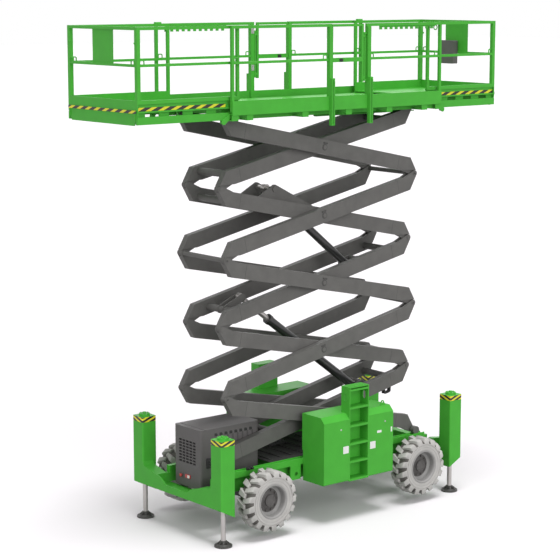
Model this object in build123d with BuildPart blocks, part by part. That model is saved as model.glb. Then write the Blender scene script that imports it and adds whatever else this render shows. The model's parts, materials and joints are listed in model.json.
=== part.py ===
from build123d import *
import os
from math import asin, cos, degrees, radians, sin, sqrt

# Rough-terrain scissor lift with five scissor levels, four stabilizer legs and
# a deck that rolls out at both ends.  Millimetres, +Z up.  +X is the front end
# with the steered wheels, the power pack stands at -X.  The origin lies on the
# ground under the middle of the whole machine.

os.makedirs("parts", exist_ok=True)

# ---------------------------------------------------------------- general
run_gap = 5.0            # between parts that pass each other
pin_gap = 0.5            # round a pin in its bore
seat_gap = 0.3           # between parts of one body that sit together
plate = 12.0             # common plate thickness

# ---------------------------------------------------------------- scissor stack
chassis_x = 160.0        # middle of the wheelbase
stack_x = chassis_x - 33.0
arm_pitch = 3650.0       # pivot to pivot along one arm
rest_angle = 15.4        # of the pivot line, degrees
foot_z = 960.0           # lowest pivots
level_count = 5
arm_depth = 210.0
arm_width = 100.0
inner_y = 322.0          # inside face of an inner arm
arm_side_gap = 19.0      # between inner and outer arms
outer_y = inner_y + arm_width + arm_side_gap
pivot_drop = 6.0         # end pivots lie this far past the arm's edge
ear_radius = 45.0
ear_run = 220.0          # length of the tapered end
set_back = 135.0         # of the slanted end's far corner
relief_run = ear_run + 25.0
tongue_width = 40.0
pin_radius = 25.0
shaft_radius = 32.0
centre_pin_radius = 30.0
centre_boss_radius = 55.0
cross_tube_radius = 50.0

level_width = arm_pitch * cos(radians(rest_angle))
level_height = arm_pitch * sin(radians(rest_angle))
pivot_lift = arm_depth / 2 + pivot_drop
pivot_reach = sqrt((arm_pitch / 2) ** 2 - pivot_lift**2)
body_tilt = radians(rest_angle) - asin(pivot_lift / (arm_pitch / 2))
left_x = stack_x - level_width / 2
right_x = stack_x + level_width / 2
head_z = foot_z + level_count * level_height


def save(piece, label):
    piece.part.label = label
    export_step(piece.part, f"parts/{label}.step")


# ---------------------------------------------------------------- scissor arms
def arm_plane(level, slope, y):
    """Plane of an arm's side: x runs up the arm, +z points away from the middle."""
    middle_z = foot_z + (level - 0.5) * level_height
    return Plane(
        origin=(stack_x, -slope * y, middle_z),
        x_dir=(slope * cos(body_tilt), 0, sin(body_tilt)),
        z_dir=(0, -slope, 0),
    )


def end_hull(radius, corners, end):
    """Hull round one end's pivot and corners given from that pivot; end is -1 foot, +1 head."""
    with BuildSketch(mode=Mode.PRIVATE) as shape:
        with Locations((end * pivot_reach, end * pivot_lift)):
            Circle(radius)
        for along, up in corners:
            with Locations((end * (pivot_reach - along), end * (pivot_lift - up))):
                Circle(0.5)
        make_hull(shape.edges())
    return shape.sketch


def arm_outline():
    """One arm seen from the side, for the sketch in progress."""
    edge_low = pivot_drop
    edge_high = pivot_drop + arm_depth
    Rectangle(2 * (pivot_reach - ear_run), arm_depth)
    for end in (-1, 1):
        add(end_hull(ear_radius, ((set_back, edge_high), (ear_run, edge_high), (ear_run, edge_low)), end))


def relief_outline(end):
    """Room for the neighbour's ears or tongue round one end's pivot."""
    below = -ear_radius - 40
    corners = ((relief_run, pivot_drop), (relief_run, below), (-ear_radius - 15, below))
    return end_hull(ear_radius + pivot_drop, corners, end)


def slice_cut(level, slope, y, sketch, start, width):
    """Cut the sketch out of an arm between two depths from its inside face."""
    with BuildSketch(arm_plane(level, slope, y + start)) as shape:
        add(sketch)
    extrude(shape.sketch, amount=width, mode=Mode.SUBTRACT)


def disc(level, slope, y, spot, radius, start, width, mode=Mode.ADD):
    """Round solid on an arm at a spot in its side plane, from a depth past face y."""
    with BuildSketch(arm_plane(level, slope, y + start)) as shape:
        with Locations(spot):
            Circle(radius)
    extrude(shape.sketch, amount=width, mode=mode)


cheek = (arm_width - tongue_width) / 2
foot_spot = (-pivot_reach, -pivot_lift)
head_spot = (pivot_reach, pivot_lift)


def build_arms(label, level, slope, y, foot, head, tubes, extras=None):
    """A pair of arms on one level, joined across by tubes or a shaft."""
    outer = y == outer_y
    with BuildPart() as arms:
        with BuildSketch(arm_plane(level, slope, y)):
            arm_outline()
        extrude(amount=arm_width)
        if foot == "tongue":
            slice_cut(level, slope, y, relief_outline(-1), 0, cheek)
            slice_cut(level, slope, y, relief_outline(-1), arm_width - cheek, cheek)
            disc(level, slope, y, foot_spot, pin_radius + pin_gap, 0, arm_width, Mode.SUBTRACT)
        if head == "fork":
            slice_cut(level, slope, y, relief_outline(1), cheek - run_gap, tongue_width + 2 * run_gap)
            disc(level, slope, y, head_spot, pin_radius, 0, arm_width)
            disc(level, slope, y, head_spot, pin_radius + 5, arm_width, 8)
        if outer:
            reach = arm_side_gap + arm_width
            disc(level, slope, y, (0, 0), centre_boss_radius, 2 - arm_side_gap, arm_side_gap)
            disc(level, slope, y, (0, 0), centre_pin_radius, -reach - 8, reach + arm_width + 18)
        else:
            disc(level, slope, y, (0, 0), centre_pin_radius + pin_gap, 0, arm_width, Mode.SUBTRACT)
        if extras:
            extras(level, slope, y)
        mirror(about=Plane.XZ)
        for along, up, radius in tubes:
            disc(level, slope, 0, (along, up), radius, -y - 1, 2 * y + 2)
    save(arms, label)


# ---------------------------------------------------------------- lift cylinders
# Each cylinder's pins at rest: base on one level's inner frame, eye on another's.
lower_base = (chassis_x + 997.0, 1650.0)
lower_eye = (chassis_x - 1142.0, 3227.0)
upper_base = (chassis_x + 840.0, 3521.0)
upper_eye = (chassis_x - 681.0, 4747.0)
eye_pin_radius = 28.0
eye_width = 80.0
base_width = 140.0
nose_plate_y = 190.0     # inside face of the upper cylinder's head plates
nose_plate = 22.0
tab_plate = 20.0


def side_plane(y):
    """Upright plane at -y seen from the near side; extrusions run to -Y."""
    return Plane(origin=(0, -y, 0), x_dir=(1, 0, 0), z_dir=(0, -1, 0))


def hull_plate(spots, y, thickness):
    """Plate hulled round (x, z, radius) spots, from y to y + thickness on the near side."""
    with BuildSketch(side_plane(y)) as shape:
        for x, z, radius in spots:
            with Locations((x, z)):
                Circle(radius)
        make_hull(shape.edges())
    extrude(shape.sketch, amount=thickness)


def bar(x, z, radius, y_low, y_high, mode=Mode.ADD):
    """Round bar along Y between two y values."""
    with BuildSketch(side_plane(-y_high)) as shape:
        with Locations((x, z)):
            Circle(radius)
    extrude(shape.sketch, amount=y_high - y_low, mode=mode)


def arm_point(level, slope, along, up):
    """World (x, z) of a spot in an arm's side plane."""
    middle_z = foot_z + (level - 0.5) * level_height
    x = stack_x + slope * (along * cos(body_tilt) - up * sin(body_tilt))
    z = middle_z + along * sin(body_tilt) + up * cos(body_tilt)
    return x, z


def base_tabs(pin, tube):
    """Two tabs from a cross tube that carry a cylinder's base pin."""
    def build(level, slope, y):
        tube_x, tube_z = arm_point(level, slope, *tube)
        inside = base_width / 2 + run_gap
        hull_plate(((pin[0], pin[1], 55), (tube_x, tube_z, 60)), inside, tab_plate)
        bar(*pin, eye_pin_radius, -inside - tab_plate - 12, 0)
    return build


def foot_roller(level, slope, y):
    """Roller outside the lowest outer arm, in the chassis rail."""
    disc(level, slope, y, foot_spot, pin_radius, 0, arm_width + roller_side_gap)
    disc(level, slope, y, foot_spot, foot_roller_radius, arm_width + roller_side_gap, foot_roller_width)


def head_roller(level, slope, y):
    """Roller inside the highest inner arm, in the platform's channel."""
    disc(level, slope, y, head_spot, pin_radius, -run_gap, arm_width + run_gap + 8)
    disc(level, slope, y, head_spot, head_roller_radius, -run_gap - head_roller_width, head_roller_width)


rail_inner_y = 555.0
rail_outer_y = 660.0
rail_lip = 12.0
rail_lip_height = 20.0
rail_top_z = 895.0       # running surface
rail_depth = 65.0
foot_roller_radius = foot_z - rail_top_z - run_gap
roller_side_gap = rail_inner_y + rail_lip + run_gap - outer_y - arm_width
foot_roller_width = rail_outer_y - rail_inner_y - 2 * rail_lip - 2 * run_gap
head_roller_radius = 50.0
head_roller_width = 50.0


def nose_plates(level, slope, y):
    """Long plates on the level-four inner frame whose noses take the upper eye."""
    near_tube = arm_point(level, slope, *nose_tube)
    root_tube = arm_point(level, slope, *nose_root_tube)
    knee = arm_point(level, slope, *nose_knee)
    hull_plate(((*upper_eye, 62), (*near_tube, 50), (*knee, 45)), nose_plate_y, nose_plate)
    hull_plate(((*knee, 45), (*root_tube, 45)), nose_plate_y, nose_plate)
    bar(*upper_eye, 40, -nose_plate_y - nose_plate - 14, -nose_plate_y)


def eye_tabs(level, slope, y):
    """Tabs on the level-three inner frame beside the lower cylinder's eye, and the upper base."""
    tube_x, tube_z = arm_point(level, slope, *eye_tube)
    inside = eye_width / 2 + run_gap
    hull_plate(((*lower_eye, 55), (tube_x, tube_z, 60)), inside, tab_plate)
    base_tabs(upper_base, upper_base_tube)(level, slope, y)


lower_base_tube = (1190.0, -20.0)      # along and up the level-one inner frame
upper_base_tube = (1060.0, -40.0)      # level three
eye_tube = (-1450.0, 0.0)
nose_tube = (1010.0, 20.0)             # level four, which slopes the other way
nose_root_tube = (-440.0, 60.0)
nose_knee = (-60.0, 60.0)              # where the plate's top edge meets the arm's
end_tube = pivot_reach - 230.0
mid_tube = 800.0

# name, level, slope, inside face, foot end, head end, cross tubes (along, up, radius), extras
frames = (
    ("inner_arms_1", 1, 1, inner_y, "tongue", "fork",
     ((-mid_tube, 0, 50), (end_tube, -30, 50), (*lower_base_tube, 50)),
     base_tabs(lower_base, lower_base_tube)),
    ("outer_arms_1", 1, -1, outer_y, "plain", "fork", ((*foot_spot, shaft_radius),), foot_roller),
    ("inner_arms_2", 2, -1, inner_y, "tongue", "fork", ((-end_tube, 30, 50), (mid_tube, 0, 50)), None),
    ("outer_arms_2", 2, 1, outer_y, "tongue", "fork", ((*head_spot, shaft_radius),), None),
    ("inner_arms_3", 3, 1, inner_y, "tongue", "fork",
     ((*eye_tube, 50), (end_tube, -30, 50), (*upper_base_tube, 50)), eye_tabs),
    ("outer_arms_3", 3, -1, outer_y, "tongue", "fork", ((*head_spot, shaft_radius),), None),
    ("inner_arms_4", 4, -1, inner_y, "tongue", "fork",
     ((-end_tube, 30, 50), (end_tube, -30, 50), (*nose_tube, 35), (*nose_root_tube, 35)), nose_plates),
    ("outer_arms_4", 4, 1, outer_y, "tongue", "fork", ((*head_spot, shaft_radius),), None),
    ("inner_arms_5", 5, 1, inner_y, "tongue", "plain",
     ((-end_tube, 30, 50), (end_tube, -30, 50)), head_roller),
    ("outer_arms_5", 5, -1, outer_y, "tongue", "fork", ((*head_spot, shaft_radius),), None),
)
for name, level, slope, y, foot, head, tubes, extras in frames:
    build_arms(name, level, slope, y, foot, head, tubes, extras)

# ---------------------------------------------------------------- lift cylinders, barrels and rods
# name, base pin, eye pin, barrel radius, rod radius, pin to pin closed, gland to eye closed
cylinders = (
    ("lower", lower_base, lower_eye, 65.0, 40.0, 2105.0, 60.0),
    ("upper", upper_base, upper_eye, 60.0, 38.0, 1604.0, 119.0),
)
bore_floor = 60.0        # from the base pin's middle to the bore's closed end
eye_ring_radius = 55.0
gland_length = 60.0
gland_step = 10.0
for name, base, eye, barrel_radius, piston_rod_radius, closed_length, neck in cylinders:
    length = sqrt((eye[0] - base[0]) ** 2 + (eye[1] - base[1]) ** 2)
    along = Vector(eye[0] - base[0], 0, eye[1] - base[1]) / length
    axis_plane = Plane(origin=(base[0], 0, base[1]), x_dir=(0, 1, 0), z_dir=along)
    barrel_end = closed_length - neck
    rod_length = closed_length - bore_floor
    with BuildPart() as barrel:
        with BuildSketch(axis_plane.offset(barrel_radius * 0.4)):
            Circle(barrel_radius)
        extrude(amount=barrel_end - barrel_radius * 0.4)
        with BuildSketch(axis_plane.offset(barrel_end - gland_length)):
            Circle(barrel_radius + gland_step)
        extrude(amount=gland_length)
        bar(*base, barrel_radius, -base_width / 2, base_width / 2)
        with BuildSketch(axis_plane.offset(bore_floor)):
            Circle(piston_rod_radius + pin_gap)
        extrude(amount=barrel_end - bore_floor, mode=Mode.SUBTRACT)
        bar(*base, eye_pin_radius + pin_gap, -base_width, base_width, Mode.SUBTRACT)
    save(barrel, f"{name}_lift_barrel")
    with BuildPart() as rod:
        with BuildSketch(axis_plane.offset(length - rod_length)):
            Circle(piston_rod_radius)
        extrude(amount=rod_length)
        bar(*eye, eye_ring_radius, -eye_width / 2, eye_width / 2)
        pin_reach = nose_plate_y - run_gap if name == "upper" else eye_width / 2
        bar(*eye, eye_pin_radius, -pin_reach, pin_reach)
    save(rod, f"{name}_lift_rod")

# ---------------------------------------------------------------- wheels and axles
wheelbase = 2880.0
hub_z = 538.0
tyre_radius = 430.0      # over the lugs
tyre_carcass = 398.0
tyre_width = 300.0
tyre_out_y = 1117.0
rim_radius = 228.0
rim_wall = 14.0
carcass_sides = 24
shoulder = 45.0
lug_count = 17
lug_width = 52.0
lug_length = 142.0
lug_slant = 24.0         # degrees from straight across the tread
lug_depth = 42.0
kingpin_y = 767.0
kingpin_radius = 25.0
hub_radius = 108.0
hub_depth = 110.0        # of the hub inside the wheel's middle plane
spindle_radius = 40.0
axle_half = 60.0

rear_x = chassis_x - wheelbase / 2
front_x = chassis_x + wheelbase / 2
tyre_mid_y = tyre_out_y - tyre_width / 2

# wheel name, centre x, side (-1 near, +1 far)
wheels = (
    ("rear_near", rear_x, -1),
    ("rear_far", rear_x, 1),
    ("front_near", front_x, -1),
    ("front_far", front_x, 1),
)

half = tyre_width / 2
with BuildPart() as tyre:        # about the Z axis, outer side up
    with BuildSketch(Plane.XY.offset(-half)):
        RegularPolygon(tyre_carcass / cos(radians(180 / carcass_sides)), carcass_sides)
    extrude(amount=tyre_width)
    tread_edges = tyre.edges().group_by(Axis.Z)
    chamfer(tread_edges[0] + tread_edges[-1], length=shoulder)
    with BuildSketch(Plane.XY.offset(-half)):
        Circle(rim_radius + seat_gap)
    extrude(amount=tyre_width, mode=Mode.SUBTRACT)
    for side in (-1, 1):
        turn = 0 if side == 1 else 180 / lug_count
        with PolarLocations(tyre_carcass + 8, lug_count, start_angle=turn):
            with Locations((0, 0, side * half / 2)):
                Box(lug_depth, lug_width, lug_length, rotation=(side * lug_slant, 0, 0))

with BuildPart() as rim:         # about the Z axis, outer side up
    with BuildSketch(Plane.XZ):
        with BuildLine():
            Polyline(
                (spindle_radius + pin_gap, -hub_depth),
                (hub_radius, -hub_depth),
                (hub_radius, 20),
                (rim_radius - rim_wall, 0),
                (rim_radius - rim_wall, -half + 45),
                (rim_radius - 4, -half + 35),
                (rim_radius, -half + 35),
                (rim_radius, half - 4),
                (rim_radius - rim_wall, half - 4),
                (rim_radius - rim_wall - 6, 24),
                (hub_radius, 44),
                (hub_radius, 70),
                (hub_radius - 24, 82),
                (0, 82),
                (0, 62),
                (spindle_radius + pin_gap, 62),
                close=True,
            )
        make_face()
    revolve(axis=Axis.Z)

for name, x, side in wheels:
    place = Plane(origin=(x, side * tyre_mid_y, hub_z), x_dir=(1, 0, 0), z_dir=(0, side, 0))
    for piece, label in ((tyre, f"tyre_{name}"), (rim, f"rim_{name}")):
        with BuildPart() as placed:
            add(place.location * piece.part)
        save(placed, label)


def box(x_low, x_high, y_low, y_high, z_low, z_high, mode=Mode.ADD):
    """Box given by its faces."""
    with Locations(((x_low + x_high) / 2, (y_low + y_high) / 2, (z_low + z_high) / 2)):
        Box(x_high - x_low, y_high - y_low, z_high - z_low, mode=mode)


def both_sides(x_low, x_high, y_low, y_high, z_low, z_high, mode=Mode.ADD):
    """The same box on the far side and, mirrored, on the near side."""
    box(x_low, x_high, y_low, y_high, z_low, z_high, mode)
    box(x_low, x_high, -y_high, -y_low, z_low, z_high, mode)


def wheel_mount(x, side, y_start):
    """Neck, hub motor flange and spindle from y_start out into the wheel."""
    flange_start = kingpin_y + 50
    flange_end = tyre_mid_y - hub_depth - run_gap
    for radius, start, end in (
        (60, y_start, flange_start),
        (hub_radius - 8, flange_start, flange_end),
        (spindle_radius, flange_end, tyre_mid_y + 60),
    ):
        bar(x, hub_z, radius, *sorted((side * start, side * end)))


web_inner_y = 470.0
web_outer_y = 545.0
web_low_z = 600.0
with BuildPart() as rear_axle:
    box(rear_x - axle_half, rear_x + axle_half, -kingpin_y, kingpin_y, hub_z - 62, hub_z + 62)
    for side in (-1, 1):
        wheel_mount(rear_x, side, kingpin_y)
save(rear_axle, "rear_axle")

knuckle_inner = kingpin_y - 45
with BuildPart() as front_axle:
    box(front_x - axle_half, front_x + axle_half, -knuckle_inner, knuckle_inner, hub_z - 62, hub_z + 62)
    for z in (hub_z - 110, hub_z + 80):
        both_sides(front_x - 45, front_x + 45, 600, kingpin_y, z, z + 30)
        for side in (-1, 1):
            with Locations((front_x, side * kingpin_y, z + 15)):
                Cylinder(45, 30)
    both_sides(front_x - 45, front_x + 45, 600, 660, hub_z - 110, hub_z + 110)
    for side in (-1, 1):
        with Locations((front_x, side * kingpin_y, hub_z)):
            Cylinder(kingpin_radius, 220)
save(front_axle, "front_axle")

for name, x, side in wheels[2:]:
    with BuildPart() as knuckle:
        with Locations((x, side * kingpin_y, hub_z)):
            Cylinder(42, 150)
        wheel_mount(x, side, kingpin_y)
        with Locations((x, side * kingpin_y, hub_z)):
            Cylinder(kingpin_radius + pin_gap, 240, mode=Mode.SUBTRACT)
    save(knuckle, f"knuckle_{name}")

# ---------------------------------------------------------------- chassis
frame_end = 2050.0       # half length, to the end frames
pack_low_z = 632.0
rail_left = left_x + 12.5
rail_right = right_x + 153.5
belly_z = rail_top_z - rail_depth
tie_plate = 20.0
tie_radius = 28.0
tie_z = 702.0
cross_high_z = 880.0

# start x, bottom, top
cross_members = (
    (left_x - 60, web_low_z - 40, pack_low_z),
    (chassis_x - 1000, web_low_z - 40, pack_low_z),
    (chassis_x - 700, web_low_z + 60, belly_z - 20),
    (chassis_x + 300, web_low_z + 60, belly_z - 20),
    (chassis_x + 1150, web_low_z + 60, belly_z - 20),
    (chassis_x + 1900, web_low_z + 60, belly_z - 20),
)

with BuildPart() as chassis:
    both_sides(chassis_x - frame_end, chassis_x + frame_end, web_inner_y, web_outer_y, web_low_z, belly_z)
    both_sides(rail_left, rail_right, rail_inner_y, rail_outer_y, belly_z, rail_top_z)
    for y in (rail_inner_y, rail_outer_y - rail_lip):
        both_sides(rail_left, rail_right, y, y + rail_lip, belly_z, rail_top_z + rail_lip_height)
    both_sides(rail_left + 100, rail_right - 60, web_outer_y - 5, rail_inner_y + 5, belly_z - 40, belly_z)
    both_sides(rail_left + 100, rail_right - 60, web_outer_y - 5, rail_inner_y + 5, belly_z - 5, belly_z + 30)
    for x, z_low, z_high in cross_members:
        box(x, x + 120, -web_outer_y, web_outer_y, z_low, z_high)
    # pivot brackets of the lowest inner arms
    both_sides(left_x - 75, left_x + 75, inner_y - 12, web_inner_y + 10, belly_z - 60, cross_high_z)
    for y in (inner_y, inner_y + arm_width - cheek + run_gap):
        for shift in (0, 1):
            start = y if shift == 0 else -y - cheek + run_gap
            hull_plate(
                (
                    (left_x, foot_z, ear_radius), (left_x - 70, cross_high_z - 20, 5),
                    (left_x + 70, cross_high_z - 20, 5),
                ),
                start,
                cheek - run_gap,
            )
    for side in (-1, 1):
        ends = sorted((side * inner_y, side * (inner_y + arm_width)))
        bar(left_x, foot_z, pin_radius, *ends)
    # side plates with the tie-down holes
    for x, hole_x in ((chassis_x - 760, chassis_x - 650), (chassis_x + 780, chassis_x + 860)):
        both_sides(x, x + 190, rail_outer_y - tie_plate, rail_outer_y, 620, belly_z)
        for side in (-1, 1):
            spans = sorted((side * (rail_outer_y - tie_plate - 1), side * (rail_outer_y + 1)))
            bar(hole_x, tie_z, tie_radius, *spans, Mode.SUBTRACT)
    # axle mounts
    for x in (rear_x, front_x):
        both_sides(x - 90, x + 90, web_inner_y, web_outer_y, hub_z + 62, web_low_z + 20)
save(chassis, "chassis_frame")

# ---------------------------------------------------------------- stabilizers
leg_x = 2170.0           # from the chassis middle
leg_y = 914.0
post_half = 120.0
post_corner = 20.0       # outside radius of the folded corners
post_wall = 12.0
post_low_z = 535.0       # the cut lower end, outboard
post_skirt_z = 412.0     # and on the wheels' side
post_mouth_z = 640.0     # roof of the hollow lower end
post_top_z = 1505.0
cap_radius, cap_height = 78.0, 30.0
stub_radius, stub_height = 25.0, 48.0
rod_radius = 35.0
rod_low_z, rod_length_z = 40.0, 1050.0
rod_bore_top = 1490.0
pad_radius = 125.0
pad_height = 22.0
neck_radius, neck_top_z = 48.0, 62.0
beam_depth = 180.0
beam_plate = 20.0        # front plate, which alone stands above the floor between the webs
beam_floor_z = 600.0
join_top_z = 730.0
gusset_z = 860.0
post_in_y = leg_y - post_half
upward = (Align.CENTER, Align.CENTER, Align.MIN)

# upper and lower edge of the end beam on one side, outwards from the middle: y, z
beam_top_edge = (
    (240.0, 630.0), (370.0, 714.0), (post_in_y - 28, 808.0), (post_in_y, gusset_z), (leg_y, gusset_z),
)
beam_low_edge = ((leg_y, 510.0), (620.0, 488.0))

# end name, direction along X
ends = (("rear", -1), ("front", 1))
for name, way in ends:
    x_mid = chassis_x + way * leg_x
    outer_x, inner_x = x_mid + way * post_half, x_mid - way * post_half
    beam_low, beam_high = sorted((outer_x, outer_x - way * beam_depth))
    with BuildPart() as end_frame:
        with BuildSketch(Plane.YZ.offset(beam_low)) as face:
            with BuildLine():
                edge = beam_top_edge + beam_low_edge
                Polyline(*edge, *[(-y, z) for y, z in reversed(edge)], close=True)
            make_face()
        extrude(face.sketch, amount=beam_depth)
        pocket = sorted((outer_x - way * beam_plate, inner_x - way))
        box(*pocket, -web_inner_y, web_inner_y, beam_floor_z, gusset_z + 1, Mode.SUBTRACT)
        with BuildSketch(Plane.XY.offset(post_skirt_z)) as shafts:
            with Locations((x_mid, -leg_y), (x_mid, leg_y)):
                RectangleRounded(2 * post_half, 2 * post_half, post_corner)
        extrude(shafts.sketch, amount=post_top_z - post_skirt_z)
        with BuildSketch(side_plane(-leg_y - post_half - 1)) as slant:
            with BuildLine():
                Polyline(
                    (inner_x, post_skirt_z), (outer_x, post_low_z), (outer_x + way, post_low_z),
                    (outer_x + way, post_skirt_z - 1), (inner_x, post_skirt_z - 1), close=True,
                )
            make_face()
        extrude(slant.sketch, amount=2 * (leg_y + post_half + 1), mode=Mode.SUBTRACT)
        mouth = post_half - post_wall
        both_sides(
            x_mid - mouth, x_mid + mouth, leg_y - mouth, leg_y + mouth, post_skirt_z - 1, post_mouth_z,
            Mode.SUBTRACT,
        )
        for side in (-1, 1):
            with Locations((x_mid, side * leg_y, post_top_z)):
                Cylinder(cap_radius, cap_height, align=upward)
                Cylinder(stub_radius, stub_height, align=upward)
            with Locations((x_mid, side * leg_y, post_skirt_z)):
                Cylinder(rod_radius + 1, rod_bore_top - post_skirt_z, align=upward, mode=Mode.SUBTRACT)
        join_low, join_high = sorted((outer_x - way * beam_depth, chassis_x + way * frame_end))
        both_sides(join_low, join_high, web_inner_y, web_outer_y, web_low_z, join_top_z)
        box(join_low, join_high, -web_outer_y, web_outer_y, beam_floor_z - plate, beam_floor_z)
    save(end_frame, f"{name}_end_frame")
    for side, hand in ((-1, "near"), (1, "far")):
        with BuildPart() as leg_rod:
            with Locations((x_mid, side * leg_y, rod_low_z)):
                Cylinder(rod_radius, rod_length_z, align=upward)
        save(leg_rod, f"leg_rod_{name}_{hand}")
        with BuildPart() as foot:
            socket = rod_radius + seat_gap
            with BuildSketch(Plane.XZ.offset(-side * leg_y)) as section:
                with BuildLine():
                    Polyline(
                        (x_mid, 0), (x_mid + pad_radius, 0), (x_mid + pad_radius, pad_height),
                        (x_mid + pad_radius - 25, pad_height + 6), (x_mid + pad_radius - 35, pad_height + 20),
                        (x_mid + neck_radius, pad_height + 20), (x_mid + neck_radius, neck_top_z),
                        (x_mid + socket, neck_top_z), (x_mid + socket, rod_low_z - seat_gap),
                        (x_mid, rod_low_z - seat_gap), close=True,
                    )
                make_face()
            revolve(section.sketch, axis=Axis((x_mid, side * leg_y, 0), (0, 0, 1)))
        save(foot, f"leg_foot_{name}_{hand}")

# ---------------------------------------------------------------- power pack
pack_left = chassis_x - 2090.0
pack_right = chassis_x - 1050.0
pack_half = 305.0
pack_top_z = 1485.0
pack_corner = 40.0
grille_drop = 350.0      # from the lid to the grille's middle
grille_pitch_y, grille_pitch_z = 80.0, 43.0
grille_columns, grille_rows = 5, 8
grille_bar = 16.0
grille_depth = 25.0
lid_seam_x = pack_left + 80.0
lid_seam, lid_seam_depth = 12.0, 15.0
louvre_first_x = pack_left + 248.0
louvre_pitch = 88.0
louvre_count = 8
louvre_width, louvre_height, louvre_depth = 50.0, 26.0, 18.0
louvre_top_z = pack_top_z - 78.0
rib_width, rib_height, rib_depth = 8.0, 240.0, 6.0
with BuildPart() as pack:
    box(pack_left, pack_right, -pack_half, pack_half, pack_low_z, pack_top_z)
    fillet(pack.edges().filter_by(Axis.Z), pack_corner)
    with BuildSketch(Plane.YZ.offset(pack_left)):
        with Locations((0, pack_top_z - grille_drop)):
            with GridLocations(grille_pitch_y, grille_pitch_z, grille_columns, grille_rows):
                Rectangle(grille_pitch_y - grille_bar, grille_pitch_z - grille_bar)
    extrude(amount=grille_depth, mode=Mode.SUBTRACT)
    seam_z = pack_top_z - lid_seam_depth
    seam_x = (lid_seam_x, lid_seam_x + lid_seam)
    box(*seam_x, -pack_half - 1, pack_half + 1, seam_z, pack_top_z + 1, Mode.SUBTRACT)
    for count in range(louvre_count):
        x = louvre_first_x + count * louvre_pitch
        both_sides(x, x + louvre_width, pack_half - louvre_depth, pack_half + 1,
                   louvre_top_z - louvre_height, louvre_top_z, Mode.SUBTRACT)
        both_sides(x + louvre_width - rib_width, x + louvre_width, pack_half - rib_depth, pack_half + 1,
                   louvre_top_z - louvre_height - rib_height, louvre_top_z - louvre_height + 1, Mode.SUBTRACT)
save(pack, "power_pack")

# ---------------------------------------------------------------- side cabinets and ladders
cabinet_low_z = 590.0
cabinet_top_z = 1570.0
cabinet_out_y = 1117.0
cabinet_in_y = 642.0
cabinet_left = chassis_x - 527.0
cabinet_right = chassis_x + 800.0
cabinet_step_z = rail_top_z + 140.0    # above it the inner side stands over the rail
chamfer_depth = 80.0
sill_chamfer = 15.0
bay_left = chassis_x - 48.0            # the ladder's bay between two boxes
bay_right = chassis_x + 320.0
ladder_depth = 180.0
ladder_low_z = cabinet_low_z - 10.0
ladder_top_z = 1950.0
stringer = 14.0
back_plate = 10.0
tread = 28.0
step_pitch = 262.0
step_count = 6
handhold_radius, handhold_run = 28.0, 60.0
handhold_z = ladder_top_z - 160.0
eye_plate = 12.0
eye_y = 985.0
eye_height, eye_spread = 42.0, 45.0
eye_head, eye_hole = 28.0, 14.0
# side name, side, lifting eye's x
cabinet_sides = (("near", -1, cabinet_right - 100.0), ("far", 1, cabinet_left + 100.0))
for name, side, eye_x in cabinet_sides:
    with BuildPart() as cabinet:
        with BuildSketch(Plane.YZ.offset(cabinet_left)) as section:
            with BuildLine():
                Polyline(
                    (side * (cabinet_out_y - sill_chamfer), cabinet_low_z),
                    (side * cabinet_out_y, cabinet_low_z + sill_chamfer),
                    (side * cabinet_out_y, cabinet_top_z - chamfer_depth),
                    (side * (cabinet_out_y - chamfer_depth), cabinet_top_z),
                    (side * cabinet_in_y, cabinet_top_z),
                    (side * cabinet_in_y, cabinet_step_z),
                    (side * rail_outer_y, cabinet_step_z),
                    (side * rail_outer_y, cabinet_low_z), close=True,
                )
            make_face()
        extrude(section.sketch, amount=cabinet_right - cabinet_left)
        y_low, y_high = sorted((side * (cabinet_out_y - ladder_depth), side * (cabinet_out_y + 1)))
        box(bay_left, bay_right, y_low, y_high, cabinet_low_z - 1, cabinet_top_z + 1, Mode.SUBTRACT)
        start = eye_y if side == -1 else -eye_y - eye_plate
        feet = ((eye_x - eye_spread, cabinet_top_z - 8, 8), (eye_x + eye_spread, cabinet_top_z - 8, 8))
        hull_plate(((eye_x, cabinet_top_z + eye_height, eye_head), *feet), start, eye_plate)
        hole_y = sorted((side * (eye_y - 1), side * (eye_y + eye_plate + 1)))
        bar(eye_x, cabinet_top_z + eye_height, eye_hole, *hole_y, Mode.SUBTRACT)
    save(cabinet, f"cabinet_{name}")
    with BuildPart() as ladder:
        y_low, y_high = sorted((side * (cabinet_out_y - ladder_depth), side * cabinet_out_y))
        back_y = cabinet_out_y - ladder_depth
        back = sorted((side * back_y, side * (back_y + back_plate)))
        box(bay_left, bay_left + stringer, y_low, y_high, ladder_low_z, ladder_top_z)
        box(bay_right - stringer, bay_right, y_low, y_high, ladder_low_z, ladder_top_z)
        box(bay_left, bay_right, *back, cabinet_low_z, ladder_top_z)
        for step in range(step_count):
            z = ladder_low_z + step * step_pitch
            box(bay_left, bay_right, y_low, y_high, z, z + tread)
        box(bay_left, bay_right, y_low, y_high, ladder_top_z - stringer, ladder_top_z)
        with BuildSketch(Plane.YZ.offset(bay_left - 1)) as handhold:
            with Locations(((y_low + y_high) / 2, handhold_z)):
                SlotCenterToCenter(handhold_run, 2 * handhold_radius, rotation=90)
        extrude(handhold.sketch, amount=bay_right - bay_left + 2, mode=Mode.SUBTRACT)
    save(ladder, f"ladder_{name}")

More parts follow.
